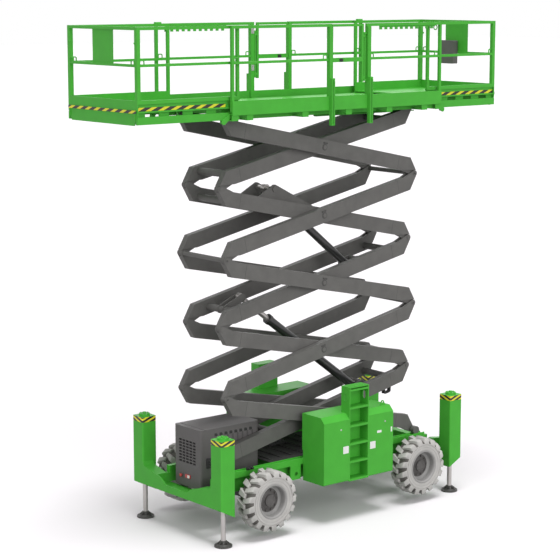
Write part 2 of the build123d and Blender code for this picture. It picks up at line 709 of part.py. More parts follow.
# ---------------------------------------------------------------- platform
# Heights are set from the highest pivots and from the floor, lengths from the end pivots.
floor_z = head_z + 158.6
floor_plate = 20.0
deck_left = left_x - 162.5
deck_right = right_x + 188.5
deck_half = 890.0
fascia_low_z = floor_z - 95.0
fascia_top_z = floor_z + 97.0
fascia_plate = 15.0
fascia_in_y = deck_half - fascia_plate
beam_low_z = floor_z - 170.0
beam_in_y, beam_out_y = 560.0, 640.0
cross_low_z = floor_z - 95.0
cross_width = 80.0
cross_shares = (0.0, 0.070, 0.327, 0.537, 0.741, 0.924, 1.0)
tray_low_z = floor_z - 157.0           # underside of the roll-out decks' side rails
outrigger = 12.0
outrigger_top_z = tray_low_z - seat_gap
outrigger_tab = 110.0
tab_top_z = fascia_low_z + 30.0
rail_top = floor_z + 1087.0
rail_mid = floor_z + 580.0             # underside of the middle bar
rail_tube = 40.0
rail_mid_tube = 35.0
post_foot_z = fascia_low_z + 40.0
rail_y = fascia_in_y - rail_tube       # inside face of the main rails
rail_mid_y = rail_y + rail_tube / 2
tray_half = rail_y - 33.0
tray_beam = 40.0
floor_half = tray_half - tray_beam - 22.0          # between the roll-out decks' side beams

gate_left = chassis_x - 200.0
gate_right = chassis_x + 450.0
gate_mid = (gate_left + gate_right) / 2
gate_half = (gate_right - gate_left) / 2
gate_post = 60.0
gate_post_low_z = floor_z - 305.0
gate_post_knee_z = floor_z + 345.0
gate_post_out_y = deck_half + 55.0
gate_post_top_y = deck_half + 10.0
gate_bar = 40.0
gate_depth = 30.0
gate_mid_z, gate_mid_height = rail_mid - 20.0, 60.0
gate_top_z, gate_top_height = rail_top - 40.0, 35.0
gate_pin_set = 25.0                    # hinge pin from its post
gate_tube_set, gate_tube = 55.0, 35.0
gate_end_gap = 10.0
gate_strap_z = (floor_z + 315.0, floor_z + 895.0)
gate_pin = 15.0
gate_barrel = 25.0
gate_lug = 20.0
handle_radius, handle_bend = 7.0, 25.0
handle_y = deck_half + 80.0
handle_low_z, handle_high_z = floor_z - 281.0, floor_z + 325.0

channel_in = inner_y - 2 * run_gap - head_roller_width - plate
channel_out = inner_y - run_gap
channel_left, channel_right = stack_x + 36.0, deck_right
channel_roof = head_z + head_roller_radius + run_gap
channel_floor = head_z - head_roller_radius - run_gap

carrier_y, carrier_plate = tray_half + 8.0, 12.0   # plates that hold the corner rollers
carrier_set = 95.0                     # of a roller past the deck's end
carrier_run = 70.0                     # of its plate along the fascia
carrier_top_z = fascia_low_z + 25.0
corner_roller, corner_roller_width = 25.0, 35.0
corner_roller_z = outrigger_top_z - corner_roller

with BuildPart() as deck:
    box(deck_left, deck_right, -floor_half, floor_half, floor_z - floor_plate, floor_z)
    both_sides(deck_left, deck_right, beam_in_y, beam_out_y, beam_low_z, floor_z - floor_plate)
    both_sides(deck_left, deck_right, fascia_in_y, deck_half, fascia_low_z, fascia_top_z)
    for share in cross_shares:
        x = deck_left + (deck_right - cross_width - deck_left) * share
        box(x, x + cross_width, -beam_out_y, beam_out_y, cross_low_z, floor_z - floor_plate)
        strap_z = outrigger_top_z - outrigger
        both_sides(x, x + cross_width, beam_in_y, fascia_in_y, strap_z, outrigger_top_z)
        tab_low = min(max(x + (cross_width - outrigger_tab) / 2, deck_left), deck_right - outrigger_tab)
        both_sides(tab_low, tab_low + outrigger_tab, fascia_in_y - outrigger, fascia_in_y, strap_z, tab_top_z)
    for side in (-1, 1):
        start = outer_y + cheek if side == -1 else -outer_y - cheek - tongue_width
        root_z = cross_low_z + 10
        lug_spots = ((left_x, head_z, ear_radius), (left_x - 80, root_z, 5), (left_x + 80, root_z, 5))
        hull_plate(lug_spots, start, tongue_width)
        pad_y = sorted((side * (outer_y - 41), side * (beam_in_y + 40)))
        box(left_x - 90, left_x + 90, *pad_y, cross_low_z, floor_z - floor_plate)
        bore_y = sorted((side * (outer_y - 1), side * (outer_y + arm_width + 4)))
        bar(left_x, head_z, pin_radius + pin_gap, *bore_y, Mode.SUBTRACT)
        for end_x, way in ((deck_left, -1), (deck_right, 1)):
            roller_x = end_x + way * carrier_set
            start = carrier_y if side == -1 else -carrier_y - carrier_plate
            root_x = end_x - way * carrier_run
            plate_spots = (
                (roller_x, corner_roller_z, 35), (end_x - way * 5, carrier_top_z - 5, 5),
                (root_x, carrier_top_z - 5, 5), (root_x, fascia_low_z + 5, 5),
            )
            hull_plate(plate_spots, start, carrier_plate)
            roller_y = sorted((side * (carrier_y - corner_roller_width - 8), side * carrier_y))
            bar(roller_x, corner_roller_z, corner_roller, roller_y[0], roller_y[1])
            block_x = sorted((end_x - way * 12, root_x + way * 4))
            block_y = sorted((side * (carrier_y + 1), side * fascia_in_y))
            box(*block_x, *block_y, fascia_low_z + 8, carrier_top_z - 3)
    both_sides(channel_left, channel_right, channel_in, channel_out, channel_roof, cross_low_z + 5)
    both_sides(channel_left, channel_right, channel_in, channel_out, channel_floor - plate, channel_floor)
    channel_web = (channel_in, channel_in + plate)
    both_sides(channel_left, channel_right, *channel_web, channel_floor - plate, channel_roof + 5)
save(deck, "main_deck")

rack_bar, rack_drop = 20.0, 50.0       # depth of the bar, and down to the teeth's tips
rack_pitch, rack_tooth = 100.0, 50.0
rack_plate = 10.0
# a gate post from its foot up: it straddles the fascia and stands out below its knee
gate_post_outline = (
    (rail_y, post_foot_z),
    (fascia_in_y - seat_gap, post_foot_z),
    (fascia_in_y - seat_gap, fascia_top_z + seat_gap),
    (deck_half + seat_gap, fascia_top_z + seat_gap),
    (deck_half + seat_gap, gate_post_low_z),
    (gate_post_out_y, gate_post_low_z),
    (gate_post_out_y, gate_post_knee_z),
    (gate_post_top_y, gate_post_knee_z),
    (gate_post_top_y, rail_top - rail_tube),
    (rail_y, rail_top - rail_tube),
)
# side name, side, hinge end of the gate along X, rack's first and last x
rail_sides = (
    ("near", -1, 1, chassis_x + 702.0, chassis_x + 1789.0),
    ("far", 1, -1, chassis_x - 1789.0, chassis_x - 702.0),
)
for name, side, hinge_end, rack_low, rack_high in rail_sides:
    y_low, y_high = sorted((side * rail_y, side * (rail_y + rail_tube)))
    hinge_x = gate_mid + hinge_end * (gate_half - gate_pin_set)
    lug_x = sorted((hinge_x, gate_mid + hinge_end * (gate_half + 5)))
    # the rail's two halves: end post's first x, gate post's first x
    halves = ((deck_left, gate_left - gate_post), (deck_right - rail_tube, gate_right))
    with BuildPart() as rails:
        for post_x, gate_post_low in halves:
            x_low = min(post_x, gate_post_low)
            x_high = max(post_x + rail_tube, gate_post_low + gate_post)
            box(post_x, post_x + rail_tube, y_low, y_high, post_foot_z, rail_top - rail_tube + 1)
            box(x_low, x_high, y_low, y_high, rail_top - rail_tube, rail_top)
            box(x_low, x_high, y_low + 3, y_high - 3, rail_mid, rail_mid + rail_mid_tube)
            with BuildSketch(Plane.YZ.offset(gate_post_low)) as section:
                with BuildLine():
                    Polyline(*[(side * y, z) for y, z in gate_post_outline], close=True)
                make_face()
            extrude(section.sketch, amount=gate_post)
            handle_x = gate_post_low + gate_post / 2
            root_y = side * (gate_post_out_y - 10)
            root_low = (handle_x, root_y, handle_low_z)
            root_high = (handle_x, root_y, handle_high_z)
            grip_low = (handle_x, side * handle_y, handle_low_z)
            grip_high = (handle_x, side * handle_y, handle_high_z)
            with BuildLine() as handle_line:
                FilletPolyline(root_low, grip_low, grip_high, root_high, radius=handle_bend)
            with BuildSketch(Plane(origin=root_low, z_dir=(0, side, 0))) as handle_round:
                Circle(handle_radius)
            sweep(handle_round.sketch, path=handle_line.wires()[0])
        box(gate_left - gate_post, gate_right + gate_post, y_low, y_high, post_foot_z, fascia_top_z)
        for z in (gate_strap_z[0] - run_gap - gate_lug, gate_strap_z[1] + gate_bar + run_gap):
            box(*lug_x, y_low + 5, y_high - 5, z, z + gate_lug)
            with Locations((hinge_x, side * rail_mid_y, z + gate_lug / 2)):
                Cylinder(gate_barrel, gate_lug)
                Cylinder(gate_pin + pin_gap, gate_lug, mode=Mode.SUBTRACT)
        rack_y = (side * rail_mid_y - rack_plate / 2, side * rail_mid_y + rack_plate / 2)
        rack_z = rail_top - rail_tube
        box(rack_low, rack_high, *rack_y, rack_z - rack_bar, rack_z)
        teeth = int((rack_high - rack_low) // rack_pitch) + 1
        for count in range(teeth):
            x = rack_low + count * rack_pitch
            box(x, min(x + rack_tooth, rack_high), *rack_y, rack_z - rack_drop, rack_z)
    save(rails, f"main_rail_{name}")
    with BuildPart() as gate:
        g_low, g_high = side * rail_mid_y - gate_depth / 2, side * rail_mid_y + gate_depth / 2
        free_x = gate_mid - hinge_end * (gate_half - gate_end_gap)
        tube_x = gate_mid + hinge_end * (gate_half - gate_tube_set)
        bar_x = sorted((free_x, tube_x))
        box(*bar_x, g_low, g_high, gate_mid_z, gate_mid_z + gate_mid_height)
        box(*bar_x, g_low, g_high, gate_top_z, gate_top_z + gate_top_height)
        hinge_tube_x = sorted((tube_x, tube_x - hinge_end * gate_tube))
        box(*hinge_tube_x, g_low, g_high, gate_strap_z[0] - gate_bar, gate_top_z + gate_top_height)
        for z in gate_strap_z:
            strap_x = sorted((tube_x - hinge_end * 5, hinge_x))
            box(*strap_x, g_low, g_high, z, z + gate_bar)
        with Locations((hinge_x, side * rail_mid_y, (gate_strap_z[0] + gate_strap_z[1] + gate_bar) / 2)):
            Cylinder(gate_pin, gate_strap_z[1] - gate_strap_z[0] + gate_bar + 2 * (run_gap + gate_lug + 5))
    save(gate, f"gate_{name}")

# ---------------------------------------------------------------- roll-out decks
tray_floor_z = floor_z + 12.0
tray_rail_height = 100.0
tray_web = 15.0
tray_channel_z = floor_z - 4.0
tray_lip = 14.0
tray_top_tube = 50.0
toe_top_z = floor_z + 155.0
tray_bracket = 160.0                   # length of the straps between a side's rail and channel
bracket_shares = (0.27, 0.50, 0.73, 0.96)
end_plate = 15.0
end_plate_low_z = beam_low_z + 1.0
end_plate_cut = (80.0, 130.0)          # lower corners, across and up
end_post = 55.0
rear_reach = 1475.0                    # of the roll-out decks past the main deck's ends
front_reach = 1195.0
rear_overlap = 185.0
front_overlap = 210.0
rear_end = deck_left - rear_reach
front_end = deck_right + front_reach

# end, outer end x, inner end x, direction
extensions = (
    ("rear", rear_end, deck_left + rear_overlap, -1),
    ("front", front_end, deck_right - front_overlap, 1),
)
for name, outer_end, inner_end, way in extensions:
    x_low, x_high = sorted((outer_end, inner_end))
    web_in = tray_half - tray_beam
    with BuildPart() as tray:
        box(x_low, x_high, -web_in, web_in, tray_floor_z, tray_floor_z + floor_plate)
        both_sides(x_low, x_high, web_in, tray_half, tray_low_z, tray_low_z + tray_rail_height)
        both_sides(x_low, x_high, web_in, web_in + tray_web, tray_channel_z, toe_top_z)
        both_sides(x_low, x_high, web_in, tray_half, tray_channel_z, tray_channel_z + tray_lip)
        both_sides(x_low, x_high, web_in, tray_half, toe_top_z - tray_top_tube, toe_top_z)
        for share in bracket_shares:
            x = inner_end + (outer_end - inner_end) * share
            both_sides(x - tray_bracket / 2, x + tray_bracket / 2, web_in - tray_web, web_in,
                       tray_low_z + tray_rail_height / 2, tray_floor_z + 5)
        end_low, end_high = sorted((outer_end, outer_end - way * end_plate))
        cut_y = tray_half - end_plate_cut[0]
        cut_z = end_plate_low_z + end_plate_cut[1]
        with BuildSketch(Plane.YZ.offset(end_low)) as face:
            with BuildLine():
                Polyline(
                    (-tray_half, toe_top_z), (-tray_half, cut_z), (-cut_y, end_plate_low_z),
                    (cut_y, end_plate_low_z), (tray_half, cut_z), (tray_half, toe_top_z), close=True,
                )
            make_face()
        extrude(face.sketch, amount=end_plate)
    save(tray, f"{name}_tray")
    with BuildPart() as cage:
        y_in = tray_half - rail_tube
        # distance from the deck's outer end, size along X, inner face
        for near_x, far_x, post_in in (
            (outer_end, outer_end - way * end_post, tray_half - end_post),
            (inner_end, inner_end + way * rail_tube, y_in),
        ):
            both_sides(*sorted((near_x, far_x)), post_in, tray_half, toe_top_z, rail_top - rail_tube + 1)
        both_sides(x_low, x_high, y_in, tray_half, rail_top - rail_tube, rail_top)
        both_sides(x_low, x_high, y_in + 3, tray_half - 3, rail_mid, rail_mid + rail_mid_tube)
        e_low, e_high = sorted((outer_end, outer_end - way * rail_tube))
        box(e_low, e_high, -tray_half, tray_half, rail_top - rail_tube, rail_top)
        box(e_low + 3, e_high - 3, -tray_half, tray_half, rail_mid, rail_mid + rail_mid_tube)
    save(cage, f"{name}_cage")

panel_sheet = 3.0
panel_left, panel_right = -250.0, 228.0
for name, outer_end, way in (("rear", rear_end, -1), ("front", front_end, 1)):
    with BuildPart() as panel:
        x = outer_end - way * rail_tube / 2
        panel_z = (rail_mid + rail_mid_tube, rail_top - rail_tube)
        box(x - panel_sheet / 2, x + panel_sheet / 2, panel_left, panel_right, *panel_z)
    save(panel, f"{name}_panel")
document_depth = 100.0
document_corner = 20.0
document_y = (-52.0, 260.0)
document_drop, document_rise = 151.0, 200.0
with BuildPart() as document_box:
    face_x = front_end - rail_tube + 3 - seat_gap
    box(face_x - document_depth, face_x, *document_y, rail_mid - document_drop, rail_mid + document_rise)
    fillet(document_box.edges().filter_by(Axis.X), document_corner)
save(document_box, "document_box")
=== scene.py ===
import bpy
import bmesh
import json
from functools import partial
from math import asin, atan2, cos, pi, radians, sin, sqrt
from mathutils import Matrix, Vector


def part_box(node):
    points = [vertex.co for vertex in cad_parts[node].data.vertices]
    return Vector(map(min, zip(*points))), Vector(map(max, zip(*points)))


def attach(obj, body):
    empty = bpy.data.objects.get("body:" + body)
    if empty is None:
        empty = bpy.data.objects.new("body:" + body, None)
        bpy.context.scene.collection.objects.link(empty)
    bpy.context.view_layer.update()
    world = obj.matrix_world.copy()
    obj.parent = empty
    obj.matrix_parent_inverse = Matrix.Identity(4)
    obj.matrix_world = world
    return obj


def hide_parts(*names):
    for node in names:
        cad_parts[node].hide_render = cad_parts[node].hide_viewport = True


# Looks of the scissor lift: finishes, tyres and rims, hazard bands, bolts and small fittings.
# Metres, +Z up, +X the steered front end.  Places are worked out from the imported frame, or are CAD sizes.

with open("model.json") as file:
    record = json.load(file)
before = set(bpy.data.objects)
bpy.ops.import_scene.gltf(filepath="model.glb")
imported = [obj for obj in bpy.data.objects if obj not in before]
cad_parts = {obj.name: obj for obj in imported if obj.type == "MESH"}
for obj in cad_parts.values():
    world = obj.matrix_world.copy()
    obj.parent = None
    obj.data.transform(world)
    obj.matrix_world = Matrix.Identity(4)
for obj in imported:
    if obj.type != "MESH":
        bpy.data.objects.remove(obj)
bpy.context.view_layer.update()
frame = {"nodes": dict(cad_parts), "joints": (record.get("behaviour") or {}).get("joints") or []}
nodes = frame["nodes"]
scene = bpy.context.scene
HANDS = (("near", -1), ("far", 1))   # near is the side towards the camera; with the sign of y

# ---------------------------------------------------------------- colours (linear)
GREEN = (0.066, 0.405, 0.040)
ARM_GREY = (0.120, 0.117, 0.112)
PACK_GREY = (0.094, 0.088, 0.088)
SEAM_GREY = (0.060, 0.058, 0.056)
TYRE_GREY = (0.50, 0.486, 0.470)
LUG_GAP_SHADE_GREY = (0.13, 0.122, 0.115)    # painted shade on the casing between the lugs
RIM_GREY = (0.31, 0.304, 0.298)
# dark grey of the hub, also painted on the rim's disc and nuts as shade in the dish
HUB_GREY_AND_DISH_SHADE = (0.085, 0.08, 0.077)
BLACK = (0.014, 0.014, 0.014)
CYLINDER_BLACK = (0.02, 0.02, 0.02)
FOOT_BLACK = (0.05, 0.049, 0.046)
AXLE_BLACK = (0.035, 0.035, 0.035)
# near-black of the tray between the rails: partly its own colour, partly painted shade under the folded arms
PAN_BLACK_AND_SHADE = (0.019, 0.019, 0.018)
RUBBER_BLACK = (0.016, 0.016, 0.016)
YELLOW = (0.80, 0.74, 0.03)
STEEL = (0.44, 0.42, 0.41)
ZINC = (0.42, 0.42, 0.41)
RED = (0.45, 0.02, 0.015)
WHITE = (0.80, 0.80, 0.79)
FLOOR = (0.35, 0.35, 0.35)
FLOOR_SEEN = (0.895, 0.866, 0.893)   # what the camera sees of it: the open floor meets the white backdrop
WORLD_LIGHT = 0.32                   # strength of the world on the object; it is seen as plain white


# ---------------------------------------------------------------- materials
MIX_A, MIX_B, MIX_RESULT = 6, 7, 2   # colour sockets of a Mix node
STRIPE_SHARE = 0.44                  # of a stripe's period that is yellow


def new_material(name):
    """Empty node material, and its tree."""
    material = bpy.data.materials.new(name)
    material.use_nodes = True
    return material, material.node_tree


def noise(tree, place, scale, detail):
    """Noise over the object's own coordinates."""
    node = tree.nodes.new("ShaderNodeTexNoise")
    node.inputs["Scale"].default_value = scale
    node.inputs["Detail"].default_value = detail
    tree.links.new(place.outputs["Object"], node.inputs["Vector"])
    return node.outputs["Fac"]


def node_material(name, colour, roughness, metallic=0.0, variation=0.06, spot_size=6.0, bump=0.0,
                  bump_scale=400.0, coat=0.0, shine=0.5):
    """Painted or bare surface: colour that drifts a little, uneven roughness and a fine bump."""
    material, tree = new_material(name)
    shader = tree.nodes["Principled BSDF"]
    shader.inputs["Metallic"].default_value = metallic
    shader.inputs["Specular IOR Level"].default_value = shine
    shader.inputs["Coat Weight"].default_value = coat
    shader.inputs["Coat Roughness"].default_value = 0.12
    place = tree.nodes.new("ShaderNodeTexCoord")
    cloud = noise(tree, place, spot_size, 6.0)
    ramp = tree.nodes.new("ShaderNodeValToRGB")
    darker, lighter = ramp.color_ramp.elements
    darker.position = 0.3
    lighter.position = 0.7
    darker.color = (*(c * (1 - variation) for c in colour), 1)
    lighter.color = (*(min(c * (1 + variation), 1.0) for c in colour), 1)
    tree.links.new(cloud, ramp.inputs["Fac"])
    tree.links.new(ramp.outputs["Color"], shader.inputs["Base Color"])
    rough = tree.nodes.new("ShaderNodeMapRange")
    rough.inputs["To Min"].default_value = max(roughness - 0.06, 0.02)
    rough.inputs["To Max"].default_value = min(roughness + 0.08, 1.0)
    tree.links.new(cloud, rough.inputs["Value"])
    tree.links.new(rough.outputs["Result"], shader.inputs["Roughness"])
    if bump:
        lift = tree.nodes.new("ShaderNodeBump")
        lift.inputs["Strength"].default_value = bump
        lift.inputs["Distance"].default_value = 0.001
        tree.links.new(noise(tree, place, bump_scale, 3.0), lift.inputs["Height"])
        tree.links.new(lift.outputs["Normal"], shader.inputs["Normal"])
    return material


def stripe_material(name, pitch, along):
    """Slanted yellow and black warning stripes: along points across them, and pitch is their period."""
    material = node_material(name, YELLOW, 0.45)
    tree = material.node_tree
    shader = tree.nodes["Principled BSDF"]
    place = tree.nodes.new("ShaderNodeTexCoord")
    dot = tree.nodes.new("ShaderNodeVectorMath")
    dot.operation = "DOT_PRODUCT"
    dot.inputs[1].default_value = [c / pitch for c in along]
    tree.links.new(place.outputs["Object"], dot.inputs[0])
    part = tree.nodes.new("ShaderNodeMath")
    part.operation = "FRACT"
    tree.links.new(dot.outputs["Value"], part.inputs[0])
    step = tree.nodes.new("ShaderNodeMath")
    step.operation = "GREATER_THAN"
    step.inputs[1].default_value = STRIPE_SHARE
    tree.links.new(part.outputs[0], step.inputs[0])
    mix = tree.nodes.new("ShaderNodeMix")
    mix.data_type = "RGBA"
    tree.links.new(step.outputs[0], mix.inputs["Factor"])
    tree.links.new(shader.inputs["Base Color"].links[0].from_socket, mix.inputs[MIX_A])
    mix.inputs[MIX_B].default_value = (*BLACK, 1)
    tree.links.new(mix.outputs[MIX_RESULT], shader.inputs["Base Color"])
    return material


def seen_directly(tree):
    """Socket that is 1 for what the camera and shiny surfaces see, and 0 for the light that is sent back."""
    path = tree.nodes.new("ShaderNodeLightPath")
    either = tree.nodes.new("ShaderNodeMath")
    either.operation = "MAXIMUM"
    tree.links.new(path.outputs["Is Camera Ray"], either.inputs[0])
    tree.links.new(path.outputs["Is Glossy Ray"], either.inputs[1])
    return either.outputs[0]


def floor_material(name, colour, seen):
    """Matt pale floor, brighter to the camera and to shiny surfaces than to the light it sends back."""
    material, tree = new_material(name)
    tree.nodes.remove(tree.nodes["Principled BSDF"])
    matt = tree.nodes.new("ShaderNodeBsdfDiffuse")
    mix = tree.nodes.new("ShaderNodeMix")
    mix.data_type = "RGBA"
    tree.links.new(seen_directly(tree), mix.inputs["Factor"])
    mix.inputs[MIX_A].default_value = (*colour, 1)
    mix.inputs[MIX_B].default_value = (*seen, 1)
    tree.links.new(mix.outputs[MIX_RESULT], matt.inputs["Color"])
    tree.links.new(matt.outputs[0], tree.nodes["Material Output"].inputs["Surface"])
    return material


green = node_material("green_paint", GREEN, 0.46, variation=0.05, bump=0.12, bump_scale=260, shine=0.22)
arm_grey = node_material("arm_grey", ARM_GREY, 0.55, variation=0.10, bump=0.2, bump_scale=220, shine=0.3)
seam_grey = node_material("seam_grey", SEAM_GREY, 0.6, variation=0.1, bump=0.3, bump_scale=300)
pack_grey = node_material("pack_grey", PACK_GREY, 0.55, variation=0.08, bump=0.35, bump_scale=500)
cylinder_black = node_material("cylinder_black", CYLINDER_BLACK, 0.35, bump=0.1, coat=0.3)
chrome = node_material("rod_chrome", STEEL, 0.30, metallic=0.75, variation=0.05)
foot_black = node_material("foot_black", FOOT_BLACK, 0.45, variation=0.35, spot_size=30, bump=0.5,
                           bump_scale=160)
tyre_grey = node_material("tyre_grey", TYRE_GREY, 0.8, variation=0.07, bump=0.5, bump_scale=300, shine=0.3)
lug_gap_shade = node_material("lug_gap_shade", LUG_GAP_SHADE_GREY, 0.85, variation=0.2, bump=0.6, bump_scale=200, shine=0.2)
rim_grey = node_material("rim_grey", RIM_GREY, 0.5, variation=0.05, bump=0.15, shine=0.35)
hub_grey_and_dish_shade = node_material("hub_grey_and_dish_shade", HUB_GREY_AND_DISH_SHADE, 0.5, variation=0.1, bump=0.2)
axle_black = node_material("axle_black", AXLE_BLACK, 0.55, variation=0.15, bump=0.3)
pan_black_and_shade = node_material("pan_black_and_shade", PAN_BLACK_AND_SHADE, 0.6, variation=0.2, bump=0.3, shine=0.25)
rubber = node_material("rubber_black", RUBBER_BLACK, 0.7, variation=0.1, bump=0.3)
zinc = node_material("zinc_steel", ZINC, 0.35, metallic=0.9, variation=0.08)
red = node_material("red_plastic", RED, 0.3, coat=0.4)
white = node_material("white_plate", WHITE, 0.5, variation=0.02)
post_stripes = stripe_material("post_stripes", 0.165, (-1.0, -1.0, 2.6))
end_stripes = stripe_material("end_stripes", 0.20, (0.0, 1.0, 2.2))
side_stripes = stripe_material("side_stripes", 0.20, (-1.0, 0.0, 2.2))
floor_finish = floor_material("studio_floor", FLOOR, FLOOR_SEEN)

# how the names of CAD nodes begin, and their finish; the others are green
finishes = (
    ("inner_arms", arm_grey), ("outer_arms", arm_grey),
    ("lower_lift_barrel", cylinder_black), ("upper_lift_barrel", cylinder_black),
    ("lower_lift_rod", chrome), ("upper_lift_rod", chrome), ("leg_rod", chrome),
    ("leg_foot", foot_black), ("tyre", tyre_grey), ("rim", rim_grey),
    ("power_pack", pack_grey), ("document_box", pack_grey),
    ("knuckle", axle_black), ("rear_axle", axle_black), ("front_axle", axle_black),
)


def finish_of(name):
    """Finish of a CAD node."""
    for prefix, material in finishes:
        if name.startswith(prefix):
            return material
    return green


for name, item in nodes.items():
    item.data.materials.clear()
    item.data.materials.append(finish_of(name))


# ---------------------------------------------------------------- mesh helpers
TINY = 1e-6              # a length below this counts as none
SUNK = 0.0005            # thin pieces begin this far inside the surface that they lie on
FILM = 0.0008            # and a painted band or a seam stands this far proud of it


def piece(name, body, material, build, crease=32.0):
    """One dressed piece: build fills a bmesh in the frame's metres, and the piece rides on a body."""
    shape = bmesh.new()
    build(shape)
    bmesh.ops.remove_doubles(shape, verts=shape.verts, dist=0.00002)
    bmesh.ops.recalc_face_normals(shape, faces=shape.faces)
    mesh = bpy.data.meshes.new(name)
    shape.to_mesh(mesh)
    shape.free()
    mesh.polygons.foreach_set("use_smooth", [True] * len(mesh.polygons))
    mesh.set_sharp_from_angle(angle=radians(crease))
    mesh.materials.append(material)
    item = bpy.data.objects.new(name, mesh)
    scene.collection.objects.link(item)
    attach(item, body)
    return item


def shift(x, y, z):
    """Matrix that moves by x, y and z."""
    return Matrix.Translation((x, y, z))


def axes(origin, x_dir, z_dir):
    """Matrix that puts local coordinates at origin with the given x and z directions."""
    x_axis = Vector(x_dir).normalized()
    z_axis = Vector(z_dir).normalized()
    y_axis = z_axis.cross(x_axis)
    turn = Matrix((x_axis, y_axis, z_axis)).transposed().to_4x4()
    return Matrix.Translation(Vector(origin)) @ turn


def on_side(x, y, z, side):
    """Frame on a face that looks along side * y: local x runs forwards and local z out of the face."""
    return axes((x, y, z), (1, 0, 0), (0, side, 0))


def on_end(x, y, z, out):
    """Frame on a face that looks along out * x: local x runs along y and local z out of the face."""
    return axes((x, y, z), (0, 1, 0), (out, 0, 0))


def round_spots(count, radius, turn=0.0):
    """Angle, x and y of each of count spots, evenly round a circle."""
    angles = [turn + 2 * pi * i / count for i in range(count)]
    return [(angle, radius * cos(angle), radius * sin(angle)) for angle in angles]


def grid(columns, rows, column_pitch, row_pitch):
    """The x and y of each place of a grid round its middle."""
    xs = [(column - (columns - 1) / 2) * column_pitch for column in range(columns)]
    ys = [(row - (rows - 1) / 2) * row_pitch for row in range(rows)]
    return [(x, y) for x in xs for y in ys]


def skin(shape, rings, caps=True):
    """Faces from each ring of points to the next one, and across the first and the last."""
    for this, after in zip(rings, rings[1:]):
        for i in range(len(this)):
            j = (i + 1) % len(this)
            shape.faces.new((this[i], this[j], after[j], after[i]))
    if caps:
        shape.faces.new(rings[0][::-1])
        shape.faces.new(rings[-1])


def lathe(shape, profile, steps, place=Matrix.Identity(4), closed=True):
    """Turned form: profile is (radius, height) points round the local z axis."""
    rings = []
    for step in range(steps):
        angle = 2 * pi * step / steps
        spots = [Vector((r * cos(angle), r * sin(angle), h)) for r, h in profile]
        rings.append([shape.verts.new(place @ spot) for spot in spots])
    count = len(profile)
    for step in range(steps):
        this, after = rings[step], rings[(step + 1) % steps]
        for i in range(count if closed else count - 1):
            j = (i + 1) % count
            corners = [this[i], after[i], after[j], this[j]]
            if profile[i][0] < TINY:
                corners = [this[i], after[j], this[j]]
            elif profile[j][0] < TINY:
                corners = [this[i], after[i], this[j]]
            shape.faces.new(corners)


def prism(shape, outline, low, high, place=Matrix.Identity(4), bevel=0.0):
    """Flat outline raised from low to high along the local z axis, with its top edge bevelled."""
    count = len(outline)
    levels = [(low, 0.0), (high - bevel, 0.0)] + ([(high, bevel)] if bevel else [])
    middle = Vector((sum(p[0] for p in outline) / count, sum(p[1] for p in outline) / count))
    rings = []
    for height, inset in levels:
        ring = []
        for x, y in outline:
            away = Vector((x, y)) - middle
            spot = middle + away * (1 - inset / max(away.length, TINY))
            ring.append(shape.verts.new(place @ Vector((spot.x, spot.y, height))))
        rings.append(ring)
    skin(shape, rings)


def rounded(width, height, radius, steps=4, centre=(0.0, 0.0)):
    """Outline of a rectangle with round corners."""
    outline = []
    for corner, (sx, sy) in enumerate(((1, 1), (-1, 1), (-1, -1), (1, -1))):
        for step in range(steps + 1):
            angle = pi / 2 * (corner + step / steps)
            x = centre[0] + sx * (width / 2 - radius) + radius * cos(angle)
            y = centre[1] + sy * (height / 2 - radius) + radius * sin(angle)
            outline.append((x, y))
    return outline


def bolt(shape, place, across, height, turn=0.0):
    """Hexagon head on a washer, standing on the local z = 0 plane."""
    washer = ((0, 0), (across * 0.72, 0), (across * 0.72, 0.002), (0, 0.002))
    lathe(shape, washer, 16, place, closed=False)
    hexagon = [(x, y) for angle, x, y in round_spots(6, across / 2 / cos(pi / 6), turn)]
    prism(shape, hexagon, 0.001, 0.002 + height, place, bevel=0.0015)


def wire(shape, points, radius, bend, sides=10, steps=5):
    """Round rod along straight runs with a bend at each inner point."""
    path = [Vector(points[0])]
    for before, corner, after in zip(points, points[1:], points[2:]):
        before, corner, after = Vector(before), Vector(corner), Vector(after)
        inward = (before - corner).normalized() * bend
        outward = (after - corner).normalized() * bend
        for step in range(steps + 1):
            share = step / steps
            path.append(corner + inward * (1 - share) ** 2 + outward * share**2)
    path.append(Vector(points[-1]))
    side = (path[1] - path[0]).orthogonal().normalized()
    rings = []
    for i, spot in enumerate(path):
        ahead = (path[min(i + 1, len(path) - 1)] - path[max(i - 1, 0)]).normalized()
        side = (side - ahead * side.dot(ahead)).normalized()
        other = ahead.cross(side)
        ring = [spot + side * x + other * y for angle, x, y in round_spots(sides, radius)]
        rings.append([shape.verts.new(corner) for corner in ring])
    skin(shape, rings)


def second_finish(shape, place, chosen):
    """Give the second material to the faces whose radius round the local z axis is a chosen one."""
    back = place.inverted()
    for face in shape.faces:
        radius = (back @ face.calc_center_median()).xy.length
        face.material_index = 1 if chosen(radius) else 0


def middle_of(node):
    """Middle of a CAD node's box."""
    low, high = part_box(node)
    return (Vector(low) + Vector(high)) / 2


# ---------------------------------------------------------------- tyres and rims
LUGS = 17                # on each half of a tyre
LUG_SLANT = 0.155        # angle between a lug's shoulder and its inner end
LUG_CURVE = 0.8          # power that bends the lug on its way across the tread
LUG_FLARE = 0.005        # a lug's foot is this much wider on each side
LUG_DRAFT = 0.003        # and its top this much narrower
LUG_GAP_SHADE_RADIUS = 0.352     # the casing is painted dark outside this radius, as shade between the lugs
# height across the tread and radius of the casing, from the bead outwards to the crown
CASING = (
    (0.2285, 0.137), (0.246, 0.1395), (0.262, 0.1485), (0.268, 0.1475), (0.287, 0.1480), (0.288, 0.1430),
    (0.2915, 0.1430), (0.2925, 0.1482), (0.326, 0.1490), (0.3285, 0.1400), (0.3360, 0.1400), (0.339, 0.1485),
    (0.350, 0.146), (0.366, 0.136), (0.382, 0.118), (0.392, 0.095), (0.397, 0.060), (0.398, 0.020),
)
